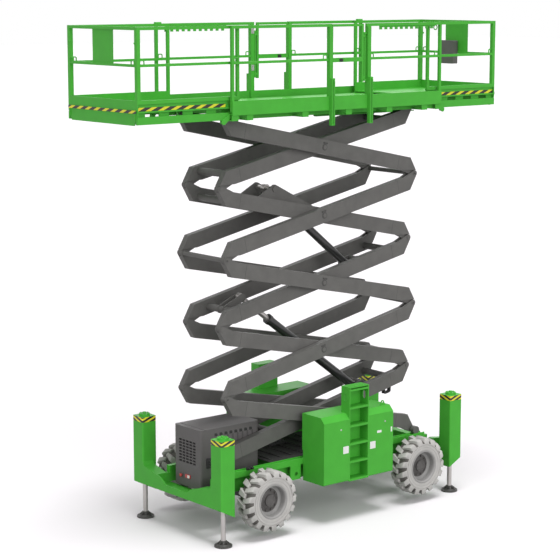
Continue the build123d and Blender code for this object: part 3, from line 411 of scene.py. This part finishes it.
# along a lug from its shoulder to its inner end: height across the tread, foot, top and half width
LUG_STATIONS = (
    (0.1480, 0.3405, 0.3460, 0.038), (0.1470, 0.342, 0.372, 0.039), (0.1405, 0.348, 0.404, 0.041),
    (0.1280, 0.366, 0.4235, 0.041), (0.1050, 0.380, 0.4290, 0.040), (0.0700, 0.388, 0.4298, 0.037),
    (0.0300, 0.392, 0.4300, 0.033), (-0.0100, 0.392, 0.4298, 0.030), (-0.0160, 0.392, 0.4240, 0.029),
)
RIM = (
    (0.2275, -0.130), (0.2275, 0.1385), (0.243, 0.1400), (0.2455, 0.1440), (0.244, 0.1480), (0.238, 0.1495),
    (0.228, 0.1480), (0.219, 0.1400), (0.214, 0.1280), (0.212, 0.1100), (0.2125, 0.070), (0.207, 0.048),
    (0.192, 0.034), (0.170, 0.027), (0.140, 0.028), (0.118, 0.040), (0.108, 0.046), (0.060, 0.046),
    (0.060, 0.030), (0.104, 0.030), (0.140, 0.012), (0.185, 0.014), (0.200, 0.004), (0.206, -0.030),
    (0.207, -0.100), (0.214, -0.118), (0.214, -0.135), (0.220, -0.138),
)
DISH_SHADE_RADIUS = 0.166       # the rim's disc and nuts are painted dark inside this radius, as shade in the deep dish
NUTS = 10
NUT_CIRCLE = 0.142
NUT_SEAT = 0.0285
HUB = (
    (0.0405, -0.110), (0.100, -0.110), (0.104, -0.106), (0.104, 0.0445), (0.1060, 0.047), (0.1060, 0.052),
    (0.090, 0.056), (0.089, 0.0745), (0.085, 0.080), (0.050, 0.082), (0.046, 0.078), (0.0, 0.078),
    (0.0, 0.062), (0.0405, 0.062),
)
HUB_BOLTS = 8
HUB_CIRCLE = 0.068
HUB_FACE = 0.080


def lug(shape, place, middle, side):
    """One tread lug that slants from its shoulder to its inner end, round the angle middle."""
    shoulder, inner_end = LUG_STATIONS[0][0], LUG_STATIONS[-1][0]
    rings = []
    for height, foot, top, half in LUG_STATIONS:
        along = (shoulder - height) / (shoulder - inner_end)
        turn = middle - LUG_SLANT * (0.5 - along**LUG_CURVE)
        ring = []
        wide, narrow = half + LUG_FLARE, half - LUG_DRAFT
        for radius, offset in ((foot, -wide), (top, -narrow), (top, narrow), (foot, wide)):
            angle = turn + offset / radius
            spot = Vector((radius * cos(angle), radius * sin(angle), side * height))
            ring.append(shape.verts.new(place @ spot))
        rings.append(ring)
    skin(shape, rings, caps=False)
    shape.faces.new(rings[0])
    shape.faces.new(rings[-1])


def tyre_tread(shape, place):
    """Casing with two rows of lugs, one set half a lug on from the other."""
    lathe(shape, list(CASING) + [(r, -h) for r, h in reversed(CASING)], 96, place)
    # the casing's crown between the lugs takes the second material: painted shade in the gaps
    second_finish(shape, place, lambda radius: radius > LUG_GAP_SHADE_RADIUS)
    for side in (1, -1):
        first = 0.0 if side == 1 else pi / LUGS
        for count in range(LUGS):
            lug(shape, place, first + 2 * pi * count / LUGS, side)


def rim_dish(shape, place):
    """Rim with its wheel nuts; its disc and the nuts are painted dark as shade in the dish."""
    lathe(shape, RIM, 96, place)
    for angle, x, y in round_spots(NUTS, NUT_CIRCLE):
        bolt(shape, place @ shift(x, y, NUT_SEAT), across=0.027, height=0.016, turn=angle)
    second_finish(shape, place, lambda radius: radius < DISH_SHADE_RADIUS)


def rim_hub(shape, place):
    """Stepped hub cap with its bolts."""
    lathe(shape, HUB, 72, place)
    for angle, x, y in round_spots(HUB_BOLTS, HUB_CIRCLE):
        bolt(shape, place @ shift(x, y, HUB_FACE), across=0.013, height=0.005, turn=angle)


for end in ("rear", "front"):
    for hand, side in HANDS:
        tag = f"{end}_{hand}"
        place = on_side(*middle_of(f"tyre_{tag}"), side)
        build = partial(tyre_tread, place=place)
        tyre = piece(f"tyre_{tag}_tread", f"wheel_{tag}", tyre_grey, build, 40)
        tyre.data.materials.append(lug_gap_shade)
        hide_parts(f"tyre_{tag}")
        rim = piece(f"rim_{tag}_dish", f"wheel_{tag}", rim_grey, partial(rim_dish, place=place))
        rim.data.materials.append(hub_grey_and_dish_shade)
        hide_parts(f"rim_{tag}")
        piece(f"rim_{tag}_hub", f"wheel_{tag}", hub_grey_and_dish_shade, partial(rim_hub, place=place))

# ---------------------------------------------------------------- stabilizer posts and feet
post_middles = []
for end in ("rear", "front"):
    for hand in ("near", "far"):
        post_middles.append((f"{end}_{hand}", middle_of(f"leg_rod_{end}_{hand}")))
POST_HALF = 0.120
POST_ROUND = 0.020       # radius of a post's corners
CAP_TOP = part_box("rear_end_frame")[1][2] - 0.018     # of the cap's flange
POST_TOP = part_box("rear_end_frame")[1][2] - 0.048
BAND_LOW = POST_TOP - 0.076
BAND_HIGH = POST_TOP - 0.004
# a foot's rib, the ring on its rim and the collar on its neck: radius and height
RIB_PROFILE = ((0.044, 0.036), (0.044, 0.0780), (0.054, 0.0770), (0.116, 0.0270), (0.121, 0.0210),
               (0.100, 0.0200))
RIM_RING = ((0.112, 0.0215), (0.1245, 0.0215), (0.1245, 0.0250), (0.1225, 0.0270), (0.114, 0.0270),
            (0.112, 0.0250))
COLLAR = ((0.0352, 0.058), (0.050, 0.058), (0.050, 0.082), (0.046, 0.086), (0.0352, 0.086))
CAP_BOLTS = 6
CAP_CIRCLE = 0.056
RIBS = 8
RIB_TURN = 0.2           # angle of the first rib
RIB_HALF = 0.006         # half the thickness of a rib
FOOT_CIRCLE = 0.108      # of the bolts between the ribs
FOOT_SEAT = 0.0215


def post_band(shape, middle):
    """Thin stripe band folded round a post just under its top."""
    rings = []
    for proud, z in ((-SUNK, BAND_LOW), (FILM, BAND_LOW), (FILM, BAND_HIGH), (-SUNK, BAND_HIGH)):
        width = 2 * (POST_HALF + proud)
        line = rounded(width, width, POST_ROUND + proud, 5, middle.xy)
        rings.append([shape.verts.new((x, y, z)) for x, y in line])
    skin(shape, rings + rings[:1], caps=False)


def cap_bolts(shape, middle):
    """Bolts of the cap on a post."""
    for angle, x, y in round_spots(CAP_BOLTS, CAP_CIRCLE):
        bolt(shape, shift(middle.x + x, middle.y + y, CAP_TOP), across=0.017, height=0.008, turn=angle)


def foot_ribs(shape, middle):
    """Gusset ribs from the foot's neck to its rim, a bolt between two ribs, a rim ring and a collar."""
    centre = shift(middle.x, middle.y, 0)
    ways = round_spots(RIBS, 1.0, RIB_TURN)
    seats = round_spots(RIBS, FOOT_CIRCLE, RIB_TURN + pi / RIBS)
    for (angle, x, y), seat in zip(ways, seats):
        rib = axes((middle.x, middle.y, 0), (x, y, 0), (y, -x, 0))
        prism(shape, RIB_PROFILE, -RIB_HALF, RIB_HALF, rib, bevel=0.001)
        bolt(shape, centre @ shift(*seat[1:], FOOT_SEAT), across=0.012, height=0.006, turn=angle)
    lathe(shape, RIM_RING, 64, centre)
    lathe(shape, COLLAR, 40, centre)


for tag, middle in post_middles:
    piece(f"post_band_{tag}", "chassis", post_stripes, partial(post_band, middle=middle))
    piece(f"cap_bolts_{tag}", "chassis", green, partial(cap_bolts, middle=middle))
for tag, middle in post_middles:
    piece(f"foot_ribs_{tag}", f"leg_{tag}", foot_black, partial(foot_ribs, middle=middle))

# ---------------------------------------------------------------- hazard bands of the roll-out decks
rear_low, rear_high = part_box("rear_tray")
front_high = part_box("front_tray")[1]
TRAY_TOP = rear_high[2]
END_BAND_WIDTH = 1.57
END_BAND = (TRAY_TOP - 0.165, TRAY_TOP - 0.125)
SIDE_BAND = (TRAY_TOP - 0.139, TRAY_TOP - 0.091)
WEB_Y = rear_high[1] - 0.025
BAND_MARGIN = 0.03       # from a tray's outer end to its side band
REAR_BAND_END, FRONT_BAND_END = -1.83, 2.11          # where the side bands stop, by the main rail's posts


def band(shape, place, width, height):
    """Thin painted band on a face."""
    prism(shape, rounded(width, height, 0.003, 2), -SUNK, FILM, place)


for name, x, out in (("rear", rear_low[0], -1), ("front", front_high[0], 1)):
    place = on_end(x, 0, sum(END_BAND) / 2, out)
    build = partial(band, place=place, width=END_BAND_WIDTH, height=END_BAND[1] - END_BAND[0])
    piece(f"{name}_end_band", f"{name}_extension", end_stripes, build)
side_spans = (("rear", rear_low[0] + BAND_MARGIN, REAR_BAND_END),
              ("front", FRONT_BAND_END, front_high[0] - BAND_MARGIN))
for name, low, high in side_spans:
    for hand, side in HANDS:
        place = on_side((low + high) / 2, side * WEB_Y, sum(SIDE_BAND) / 2, side)
        build = partial(band, place=place, width=high - low, height=SIDE_BAND[1] - SIDE_BAND[0])
        piece(f"{name}_side_band_{hand}", f"{name}_extension", side_stripes, build)

# ---------------------------------------------------------------- guard rails
rail_low, rail_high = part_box("main_rail_far")
RAIL_TOP = rail_high[2]
RAIL_Y = 0.855
MID_TOP = 6.580          # of the middle bars
BAR_HALF = 0.020         # half the width of the rails' posts and bars
CAGE_Y = rear_high[1] - BAR_HALF
end_bars = (("rear", rear_low[0] + BAR_HALF), ("front", front_high[0] - BAR_HALF))
END_LOOP_Y = 0.70
CAGE_LOOP_RUN = 0.085    # from an end bar to the loop on the cage's side
MAIN_LOOP_X = (-1.708, -0.148, 0.718, 1.988)         # beside the main rail's posts
LOOP_HALF = 0.033        # half the length of a loop
LOOP_HEIGHT = 0.052
LOOP_ROD = 0.0085        # radius of its rod

# harness loops: name, body, middle of the loop, direction along the bar
loops = []
for name, x in end_bars:
    for side in (-1, 1):
        loops.append((f"{name}_end", f"{name}_extension", (x, side * END_LOOP_Y), (0, 1, 0)))
for side in (-1, 1):
    for name, x in (("rear", end_bars[0][1] + CAGE_LOOP_RUN), ("front", end_bars[1][1] - CAGE_LOOP_RUN)):
        loops.append((f"{name}_cage", f"{name}_extension", (x, side * CAGE_Y), (1, 0, 0)))
    for x in MAIN_LOOP_X:
        loops.append(("main_rail", "platform", (x, side * RAIL_Y), (1, 0, 0)))


def harness_loop(shape, spot, along):
    """Bent rod on a middle bar for a harness hook."""
    foot = Vector((*spot, MID_TOP - 0.004))
    run = Vector(along) * LOOP_HALF
    top = Vector((0, 0, LOOP_HEIGHT))
    wire(shape, (foot - run, foot - run + top, foot + run + top, foot + run), LOOP_ROD, bend=0.020)


for count, (name, body, spot, along) in enumerate(loops):
    piece(f"{name}_loop_{count}", body, green, partial(harness_loop, spot=spot, along=along))

RACK_Z = RAIL_TOP - 0.040
TEETH = 11
FIRST_TOOTH = rail_low[0] + 0.191
TOOTH_PITCH = 0.100
TIP_DROP = 0.050         # from the rack to the middle of a tooth's tip
TIP_HALF = 0.0048        # half the thickness of a tip
RING_X = 1.965
RING_DROP = 0.036
RING_RADIUS, RING_ROD = 0.033, 0.0075
SADDLE_RUN = 0.050       # from the rail's end to the middle of a saddle
SADDLE_HALF = 0.048
PEG_Z = 6.845
SADDLE = ((-0.026, -0.020), (0.026, -0.020), (0.026, 0.024), (0.018, 0.032), (-0.018, 0.032), (-0.026, 0.024))
PEG = ((0, -0.001), (0.009, -0.001), (0.009, 0.010), (0.013, 0.012), (0.013, 0.022), (0.008, 0.026),
       (0, 0.026))


def rack_tips(shape):
    """Rounded tips under the far rack's teeth."""
    for count in range(TEETH):
        place = on_side(FIRST_TOOTH + count * TOOTH_PITCH, RAIL_Y, RACK_Z - TIP_DROP, -1)
        prism(shape, rounded(0.049, 0.052, 0.006, 3), -TIP_HALF, TIP_HALF, place, bevel=0.001)


def keeper_ring(shape):
    """Ring welded under the near rail beside the rack's end."""
    profile = [(RING_RADIUS + r, h) for angle, r, h in round_spots(12, RING_ROD)]
    lathe(shape, profile, 36, on_side(RING_X, -RAIL_Y, RACK_Z - RING_DROP, -1))


def rail_saddles(shape):
    """Low saddles over the far rail's two ends, which the roll-out rails run against."""
    for x in (rail_low[0] + SADDLE_RUN, rail_high[0] - SADDLE_RUN):
        place = on_end(x, RAIL_Y, RAIL_TOP - 0.012, 1)
        prism(shape, SADDLE, -SADDLE_HALF, SADDLE_HALF, place, bevel=0.003)


def post_pegs(shape, x):
    """Latch pegs on the end posts' inner faces."""
    for side in (-1, 1):
        place = on_side(x, side * (CAGE_Y - BAR_HALF), PEG_Z, -side)
        lathe(shape, PEG, 20, place, closed=False)


piece("rack_tips_far", "platform", green, rack_tips)
piece("keeper_ring", "platform", green, keeper_ring)
piece("rail_saddles_far", "platform", green, rail_saddles)
for name, x in end_bars:
    piece(f"{name}_post_pegs", f"{name}_extension", green, partial(post_pegs, x=x))

# ---------------------------------------------------------------- gates
GATE_HALF = 0.015        # half the thickness of a gate
LATCH_RUN = 0.164        # from the gate's free end to its latch
HINGE_RUN = 0.670        # and to the post that carries it
LATCH_Z = MID_TOP - 0.028
LEAF_Z = (6.395, 6.928)
LEAF_BOLT_PITCH = 0.048
KNOB = ((0, 0), (0.012, 0), (0.012, 0.010), (0.009, 0.013), (0, 0.013))


def gate_latch(shape, x, y):
    """Black latch through the middle bar, with a turning handle on both faces."""
    for face in (-1, 1):
        place = on_side(x, y + face * GATE_HALF, LATCH_Z, face)
        prism(shape, rounded(0.062, 0.044, 0.006), -0.002, 0.010, place, bevel=0.002)
        lathe(shape, KNOB, 20, place @ shift(0.012, 0.004, 0.010), closed=False)
        handle = place @ shift(-0.006, 0.004, 0.015)
        prism(shape, rounded(0.050, 0.010, 0.0045), 0.0, 0.006, handle, bevel=0.0015)


def hinge_leaves(shape, x, side):
    """Steel hinge leaves on the post's inner face."""
    for z in LEAF_Z:
        place = on_side(x, side * (RAIL_Y - BAR_HALF), z, -side)
        prism(shape, rounded(0.052, 0.085, 0.004), -0.001, 0.004, place, bevel=0.001)
        for dx, dz in grid(1, 2, 0, LEAF_BOLT_PITCH):
            bolt(shape, place @ shift(dx, dz, 0.004), across=0.013, height=0.005)


# hand, side, and the direction from the gate's free end to its hinge
for hand, side, way in (("near", -1, 1), ("far", 1, -1)):
    low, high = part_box(f"gate_{hand}")
    free_x = low[0] if way == 1 else high[0]
    build = partial(gate_latch, x=free_x + way * LATCH_RUN, y=side * RAIL_Y)
    piece(f"gate_{hand}_latch", f"gate_{hand}", rubber, build)
    build = partial(hinge_leaves, x=free_x + way * HINGE_RUN, side=side)
    piece(f"gate_{hand}_hinge_leaves", "platform", zinc, build)

# ---------------------------------------------------------------- power pack
pack_low, pack_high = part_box("power_pack")
PACK_X = pack_low[0]
PACK_HALF = pack_high[1]
PACK_TOP = pack_high[2]
LOUVRES = 8              # on each side
FIRST_LOUVRE = PACK_X + 0.273
LOUVRE_PITCH = 0.088
# x and z of the painted shade at a louvre's mouth, from its middle
MOUTH = ((-0.026, -0.019), (0.026, -0.019), (0.026, 0.010), (0.010, 0.024), (-0.026, 0.024))
MOUTH_Z = PACK_TOP - 0.094
SCREEN_Z = PACK_TOP - 0.091
FOLD_Z = PACK_TOP - 0.265
GRILLE_Z = PACK_TOP - 0.350
GRILLE_GRID = grid(5, 8, 0.080, 0.043)
POCKET_DEPTH = 0.0245    # of the grille's pockets, to their screens
LOUVRE_DEPTH = 0.0175    # and of the louvres
FOLD_RUN = 0.037         # from a louvre's middle to the fold beside it
BUTTON_Y, BUTTON_Z = 0.128, 0.778
PLATE_DEPTH = 0.006      # of the plate under the button
LAMP_Y, LAMP_Z = -0.015, 0.783
LAMP_DEPTH = 0.014
CONNECTOR_X, CONNECTOR_Z = -1.797, 1.010
CONNECTOR_DEPTH = 0.030
PLUG_PITCH = 0.038
BUTTON = ((0, 0.006), (0.012, 0.006), (0.012, 0.016), (0.022, 0.018), (0.026, 0.024), (0.024, 0.031),
          (0.014, 0.036), (0, 0.037))
PLUG = ((0, 0), (0.016, 0), (0.016, 0.008), (0.011, 0.012), (0.011, 0.022), (0, 0.024))


def grille_screens(shape):
    """Dark screens at the back of the grille's pockets and the side louvres."""
    for y, dz in GRILLE_GRID:
        place = on_end(PACK_X + POCKET_DEPTH, y, GRILLE_Z + dz, -1)
        prism(shape, rounded(0.0636, 0.0266, 0.002, 1), -0.001, 0.0005, place)
    for side in (-1, 1):
        for count in range(LOUVRES):
            x = FIRST_LOUVRE + count * LOUVRE_PITCH
            place = on_side(x, side * (PACK_HALF - LOUVRE_DEPTH), SCREEN_Z, side)
            prism(shape, rounded(0.0496, 0.0256, 0.002, 1), -0.001, 0.0005, place)


def louvre_shade_marks(shape):
    """Black marks on the side sheets: painted shade at the mouths of the side louvres, and painted shade
    lines for the folds that run down the side sheets below them.
    """
    for side in (-1, 1):
        # mirrored on the far side, where its order turns round as well
        mouth = [(x, -side * z) for x, z in MOUTH][::-side]
        for count in range(LOUVRES):
            x = FIRST_LOUVRE + count * LOUVRE_PITCH
            prism(shape, mouth, -SUNK, 0.0012, on_side(x, side * PACK_HALF, MOUTH_Z, side))
            fold = on_side(x + FOLD_RUN, side * PACK_HALF, FOLD_Z, side)
            prism(shape, rounded(0.006, 0.300, 0.002, 2), -SUNK, 0.0015, fold)


def button_plate(shape):
    """Plate under the stop button, with a small bolt at each corner."""
    place = on_end(PACK_X, BUTTON_Y, BUTTON_Z, -1)
    prism(shape, rounded(0.075, 0.075, 0.010), -0.001, PLATE_DEPTH, place, bevel=0.001)
    for dy, dz in grid(2, 2, 0.056, 0.056):
        bolt(shape, place @ shift(dy, dz, PLATE_DEPTH), across=0.006, height=0.002)


def stop_button(shape):
    """Mushroom button."""
    lathe(shape, BUTTON, 32, on_end(PACK_X, BUTTON_Y, BUTTON_Z, -1), closed=False)


def lamp_body(shape):
    """Red body of the lamp beside the button."""
    place = on_end(PACK_X, LAMP_Y, LAMP_Z, -1)
    prism(shape, rounded(0.120, 0.052, 0.010), -0.001, LAMP_DEPTH, place, bevel=0.004)


def lamp_glass(shape):
    """White glass on the lamp's near half."""
    place = on_end(PACK_X - LAMP_DEPTH, LAMP_Y - 0.025, LAMP_Z, -1)
    prism(shape, rounded(0.050, 0.040, 0.008), -0.001, 0.003, place, bevel=0.001)


def pack_connector(shape):
    """Black connector block on the pack's near side."""
    place = on_side(CONNECTOR_X, -PACK_HALF, CONNECTOR_Z, -1)
    prism(shape, rounded(0.062, 0.145, 0.008), -0.001, CONNECTOR_DEPTH, place, bevel=0.004)
    for dx, dz in grid(1, 3, 0, PLUG_PITCH):
        lathe(shape, PLUG, 20, place @ shift(dx, dz, CONNECTOR_DEPTH), closed=False)


# ---------------------------------------------------------------- tray between the rails
PAN_Z = 0.9115           # just above the open bays of the frame
PAN_X = 0.02
PAN_LENGTH, PAN_WIDTH = 1.80, 1.108
BEAD_GRID = grid(9, 1, 0.200, 0)
MANIFOLD_X, MANIFOLD_Y = -0.15, 0.205
MANIFOLD_TOP = PAN_Z + 0.040
CARTRIDGE = ((0, 0), (0.020, 0), (0.020, 0.006), (0.015, 0.009), (0.015, 0.016), (0.012, 0.018), (0, 0.018))


def belly_pan(shape):
    """Pressed tray between the rails, under the folded arms, with beads across it; its near-black is partly
    the tray's colour and partly painted shade of the space under the arms.
    """
    prism(shape, rounded(PAN_LENGTH, PAN_WIDTH, 0.020, 4, (PAN_X, 0.0)), PAN_Z, PAN_Z + 0.007, bevel=0.002)
    for dx, y in BEAD_GRID:
        bead = rounded(0.045, 0.900, 0.022, 5, (PAN_X + dx, y))
        prism(shape, bead, PAN_Z + 0.005, PAN_Z + 0.018, bevel=0.006)


def manifold(shape):
    """Low hydraulic manifold with its cartridges, on the tray."""
    block = rounded(0.300, 0.130, 0.012, 3, (MANIFOLD_X, MANIFOLD_Y))
    prism(shape, block, PAN_Z + 0.005, MANIFOLD_TOP, bevel=0.006)
    for dy, dx in grid(2, 4, 0.060, 0.070):
        lathe(shape, CARTRIDGE, 20, shift(MANIFOLD_X + dx, MANIFOLD_Y + dy, MANIFOLD_TOP), closed=False)


piece("pack_grille_screens", "chassis", rubber, grille_screens)
# black marks that paint the shade of the louvres' mouths and of the folds below them
piece("pack_louvre_shade_marks", "chassis", rubber, louvre_shade_marks)
piece("belly_pan", "chassis", pan_black_and_shade, belly_pan)
piece("tray_manifold", "chassis", axle_black, manifold)
piece("stop_button_plate", "chassis", pack_grey, button_plate)
piece("stop_button", "chassis", red, stop_button)
piece("pack_lamp", "chassis", red, lamp_body)
piece("pack_lamp_glass", "chassis", white, lamp_glass)
piece("pack_connector", "chassis", rubber, pack_connector)

# ---------------------------------------------------------------- chassis fittings
cabinet_low, cabinet_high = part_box("cabinet_near")
FACE_Y = -cabinet_low[1]             # outside of a cabinet, from the middle
FRAME_Y = 0.660                      # and of the chassis frame's rails
COUPLING_X, COUPLING_Z = -1.345, 0.940
COUPLING_HALF = 0.030                # half the distance between the couplings
LOCK_X = (cabinet_low[0] + 0.32, cabinet_high[0] - 0.16)
LOCK_Z = 1.36
# blank plates on the near cabinet: x, z, width, height
plates = ((0.047, 1.055, 0.105, 0.105), (0.563, 1.045, 0.105, 0.105), (0.688, 1.224, 0.085, 0.036),
          (0.927, 1.222, 0.026, 0.075))
LOCK = ((0, 0), (0.013, 0), (0.013, 0.002), (0.010, 0.004), (0.003, 0.004), (0.003, 0.0025), (0, 0.0025))
COUPLING = ((0, 0), (0.018, 0), (0.018, 0.012), (0.014, 0.014), (0.014, 0.034), (0.016, 0.036),
            (0.016, 0.046), (0.010, 0.050), (0, 0.050))


def blank_plate(shape, place, width, height):
    """Plate that carries nothing."""
    prism(shape, rounded(width, height, 0.004), -SUNK, 0.0012, place, bevel=0.0004)


def cabinet_locks(shape):
    """Round locks of the cabinets' doors."""
    for side in (-1, 1):
        for x in LOCK_X:
            lathe(shape, LOCK, 24, on_side(x, side * FACE_Y, LOCK_Z, side), closed=False)


def rail_couplings(shape):
    """Two quick couplings on a block, near the rear end of the near rail."""
    for x in (COUPLING_X - COUPLING_HALF, COUPLING_X + COUPLING_HALF):
        lathe(shape, COUPLING, 24, on_side(x, -FRAME_Y, COUPLING_Z, -1), closed=False)
    block = on_side(COUPLING_X, SUNK - FRAME_Y, COUPLING_Z, -1)
    prism(shape, rounded(0.120, 0.050, 0.006), -0.001, 0.012, block, bevel=0.002)


for count, (x, z, width, height) in enumerate(plates):
    build = partial(blank_plate, place=on_side(x, -FACE_Y, z, -1), width=width, height=height)
    piece(f"blank_plate_{count}", "chassis", white, build)
piece("cabinet_locks", "chassis", zinc, cabinet_locks)
piece("rail_couplings", "chassis", rubber, rail_couplings)

# ---------------------------------------------------------------- scissor arms
EDGE = 0.111             # from an arm's middle line to its end pivots
OUTER_FACE = 0.541       # outside of the outer arms, from the middle
INNER_FACE = 0.422       # and of the inner arms
SEAM_RUN = 0.36          # from an arm's end pivot to its weld seam
ARM_DEPTH = 0.210
PITCH = 3.650            # from one end pivot to the next along an arm
LEVELS = 5
KEEPER_RUN = 0.060       # from an arm's pin to its keeper
KEEPER_DEPTH = 0.006
KEEPER_BOLT_PITCH = 0.054
pivots = {joint["name"]: Vector(joint["pos_m"]) for joint in frame["joints"] if joint["type"] == "hinge"}
foot_to_head = pivots["end_pivot_1"] - pivots["lift"]
REACH = sqrt((PITCH / 2) ** 2 - EDGE**2)
TILT = atan2(foot_to_head.z, foot_to_head.x) - asin(EDGE / (PITCH / 2))
PIN_WASHER = ((0.0302, 0), (0.047, 0), (0.047, 0.003), (0.044, 0.005), (0.0302, 0.005))
# x and z along the bent rods of the guard under the front end of the lowest inner arm
GUARD = ((1.462, 1.690), (1.462, 1.545), (1.574, 1.562), (1.574, 1.710))
GUARD_SLOPE = 0.151      # of the plate across them
GUARD_Y = -0.365
GUARD_HALF = 0.020       # half the distance between the rods
GUARD_ROD = 0.015        # radius of a rod


def arm_place(level, slope, side, face_y):
    """Frame on an arm's outer face: local x runs up the arm and local z out of its face."""
    centre = pivots[f"centre_pivot_{level}"]
    return axes((centre.x, side * face_y, centre.z), (slope * cos(TILT), 0, sin(TILT)), (0, side, 0))


def arm_pins(shape, level, slope):
    """Pin washers, keepers and bolts on the outer faces of a pair of outer arms."""
    for side in (-1, 1):
        place = arm_place(level, slope, side, OUTER_FACE)
        up = -slope * side
        lathe(shape, PIN_WASHER, 40, place)
        keeper = place @ shift(0.0, up * KEEPER_RUN, 0.0)
        prism(shape, rounded(0.080, 0.024, 0.006), -SUNK, KEEPER_DEPTH, keeper, bevel=0.001)
        for dx, dz in grid(2, 1, KEEPER_BOLT_PITCH, 0):
            bolt(shape, keeper @ shift(dx, dz, KEEPER_DEPTH), across=0.013, height=0.006)
        bolt(shape, place @ shift(REACH, up * EDGE, 0.008), across=0.022, height=0.008, turn=0.3)


def arm_seams(shape, level, slope, face_y):
    """Weld seams across both arms where the end pieces begin."""
    for side in (-1, 1):
        place = arm_place(level, slope, side, face_y)
        for end in (-1, 1):
            spot = place @ shift(end * (REACH - SEAM_RUN), 0, 0)
            prism(shape, rounded(0.005, ARM_DEPTH - 0.002, 0.002, 2), -SUNK, FILM, spot)


def cable_guard(shape):
    """Two bent black rods with a plate across them, under the lowest inner arm on the near side."""
    for y in (GUARD_Y + GUARD_HALF, GUARD_Y - GUARD_HALF):
        wire(shape, [(x, y, z) for x, z in GUARD], GUARD_ROD, bend=0.024)
    (low_x, low_z), (high_x, high_z) = GUARD[1:3]
    middle = ((low_x + high_x) / 2, GUARD_Y, (low_z + high_z) / 2)
    place = axes(middle, (1, 0, GUARD_SLOPE), (-GUARD_SLOPE, 0, 1))
    prism(shape, rounded(0.086, 0.056, 0.006), -0.006, 0.006, place, bevel=0.001)


for level in range(1, LEVELS + 1):
    slope = 1 if level % 2 else -1
    build = partial(arm_pins, level=level, slope=-slope)
    piece(f"outer_pins_{level}", f"outer_{level}", seam_grey, build)
    build = partial(arm_seams, level=level, slope=-slope, face_y=OUTER_FACE)
    piece(f"outer_seams_{level}", f"outer_{level}", seam_grey, build)
    build = partial(arm_seams, level=level, slope=slope, face_y=INNER_FACE)
    piece(f"inner_seams_{level}", f"inner_{level}", seam_grey, build)
piece("cable_guard", "inner_1", rubber, cable_guard)

# ---------------------------------------------------------------- camera, light and floor
CAMERA_DOWN = 9.279      # degrees that the camera looks down
CAMERA_TURN = -39.606    # and that it is turned from straight ahead along +y
FLOOR_HALF = 180.0

camera_data = bpy.data.cameras.new("camera")
camera = bpy.data.objects.new("camera", camera_data)
scene.collection.objects.link(camera)
camera.location = (-16.537, -19.687, 7.569)
camera.rotation_euler = (radians(90 - CAMERA_DOWN), 0, radians(CAMERA_TURN))
camera_data.lens = 115.77
camera_data.sensor_width = 36.0
camera_data.clip_end = 400.0
scene.camera = camera
scene.view_settings.view_transform = "Standard"


def studio_world():
    """Plain white world, seen at full strength and weaker as light on the object."""
    world = bpy.data.worlds.new("studio")
    world.use_nodes = True
    tree = world.node_tree
    sky = tree.nodes["Background"]
    sky.inputs["Color"].default_value = (1.0, 1.0, 1.0, 1)
    level = tree.nodes.new("ShaderNodeMapRange")
    level.inputs["To Min"].default_value = WORLD_LIGHT
    level.inputs["To Max"].default_value = 1.0
    tree.links.new(seen_directly(tree), level.inputs["Value"])
    tree.links.new(level.outputs["Result"], sky.inputs["Strength"])
    return world


def add_sun(name, direction, strength, angle):
    """Distant light that shines along a direction."""
    data = bpy.data.lights.new(name, "SUN")
    data.energy = strength
    data.angle = radians(angle)
    lamp = bpy.data.objects.new(name, data)
    scene.collection.objects.link(lamp)
    lamp.rotation_mode = "QUATERNION"
    lamp.rotation_quaternion = Vector(direction).to_track_quat("-Z", "Y")


scene.world = studio_world()
add_sun("key", (0.05, 0.16, -1.0), 1.95, 26)
add_sun("front", (0.10, 0.95, -0.30), 1.70, 50)
add_sun("side", (1.0, 0.15, -0.4), 0.75, 40)
add_sun("back", (-0.3, -0.9, -0.35), 0.75, 60)

floor_mesh = bpy.data.meshes.new("floor")
corners = [(x * FLOOR_HALF, y * FLOOR_HALF, 0.0) for x, y in ((-1, -1), (1, -1), (1, 1), (-1, 1))]
floor_mesh.from_pydata(corners, [], [(0, 1, 2, 3)])
floor = bpy.data.objects.new("floor", floor_mesh)
floor_mesh.materials.append(floor_finish)
scene.collection.objects.link(floor)
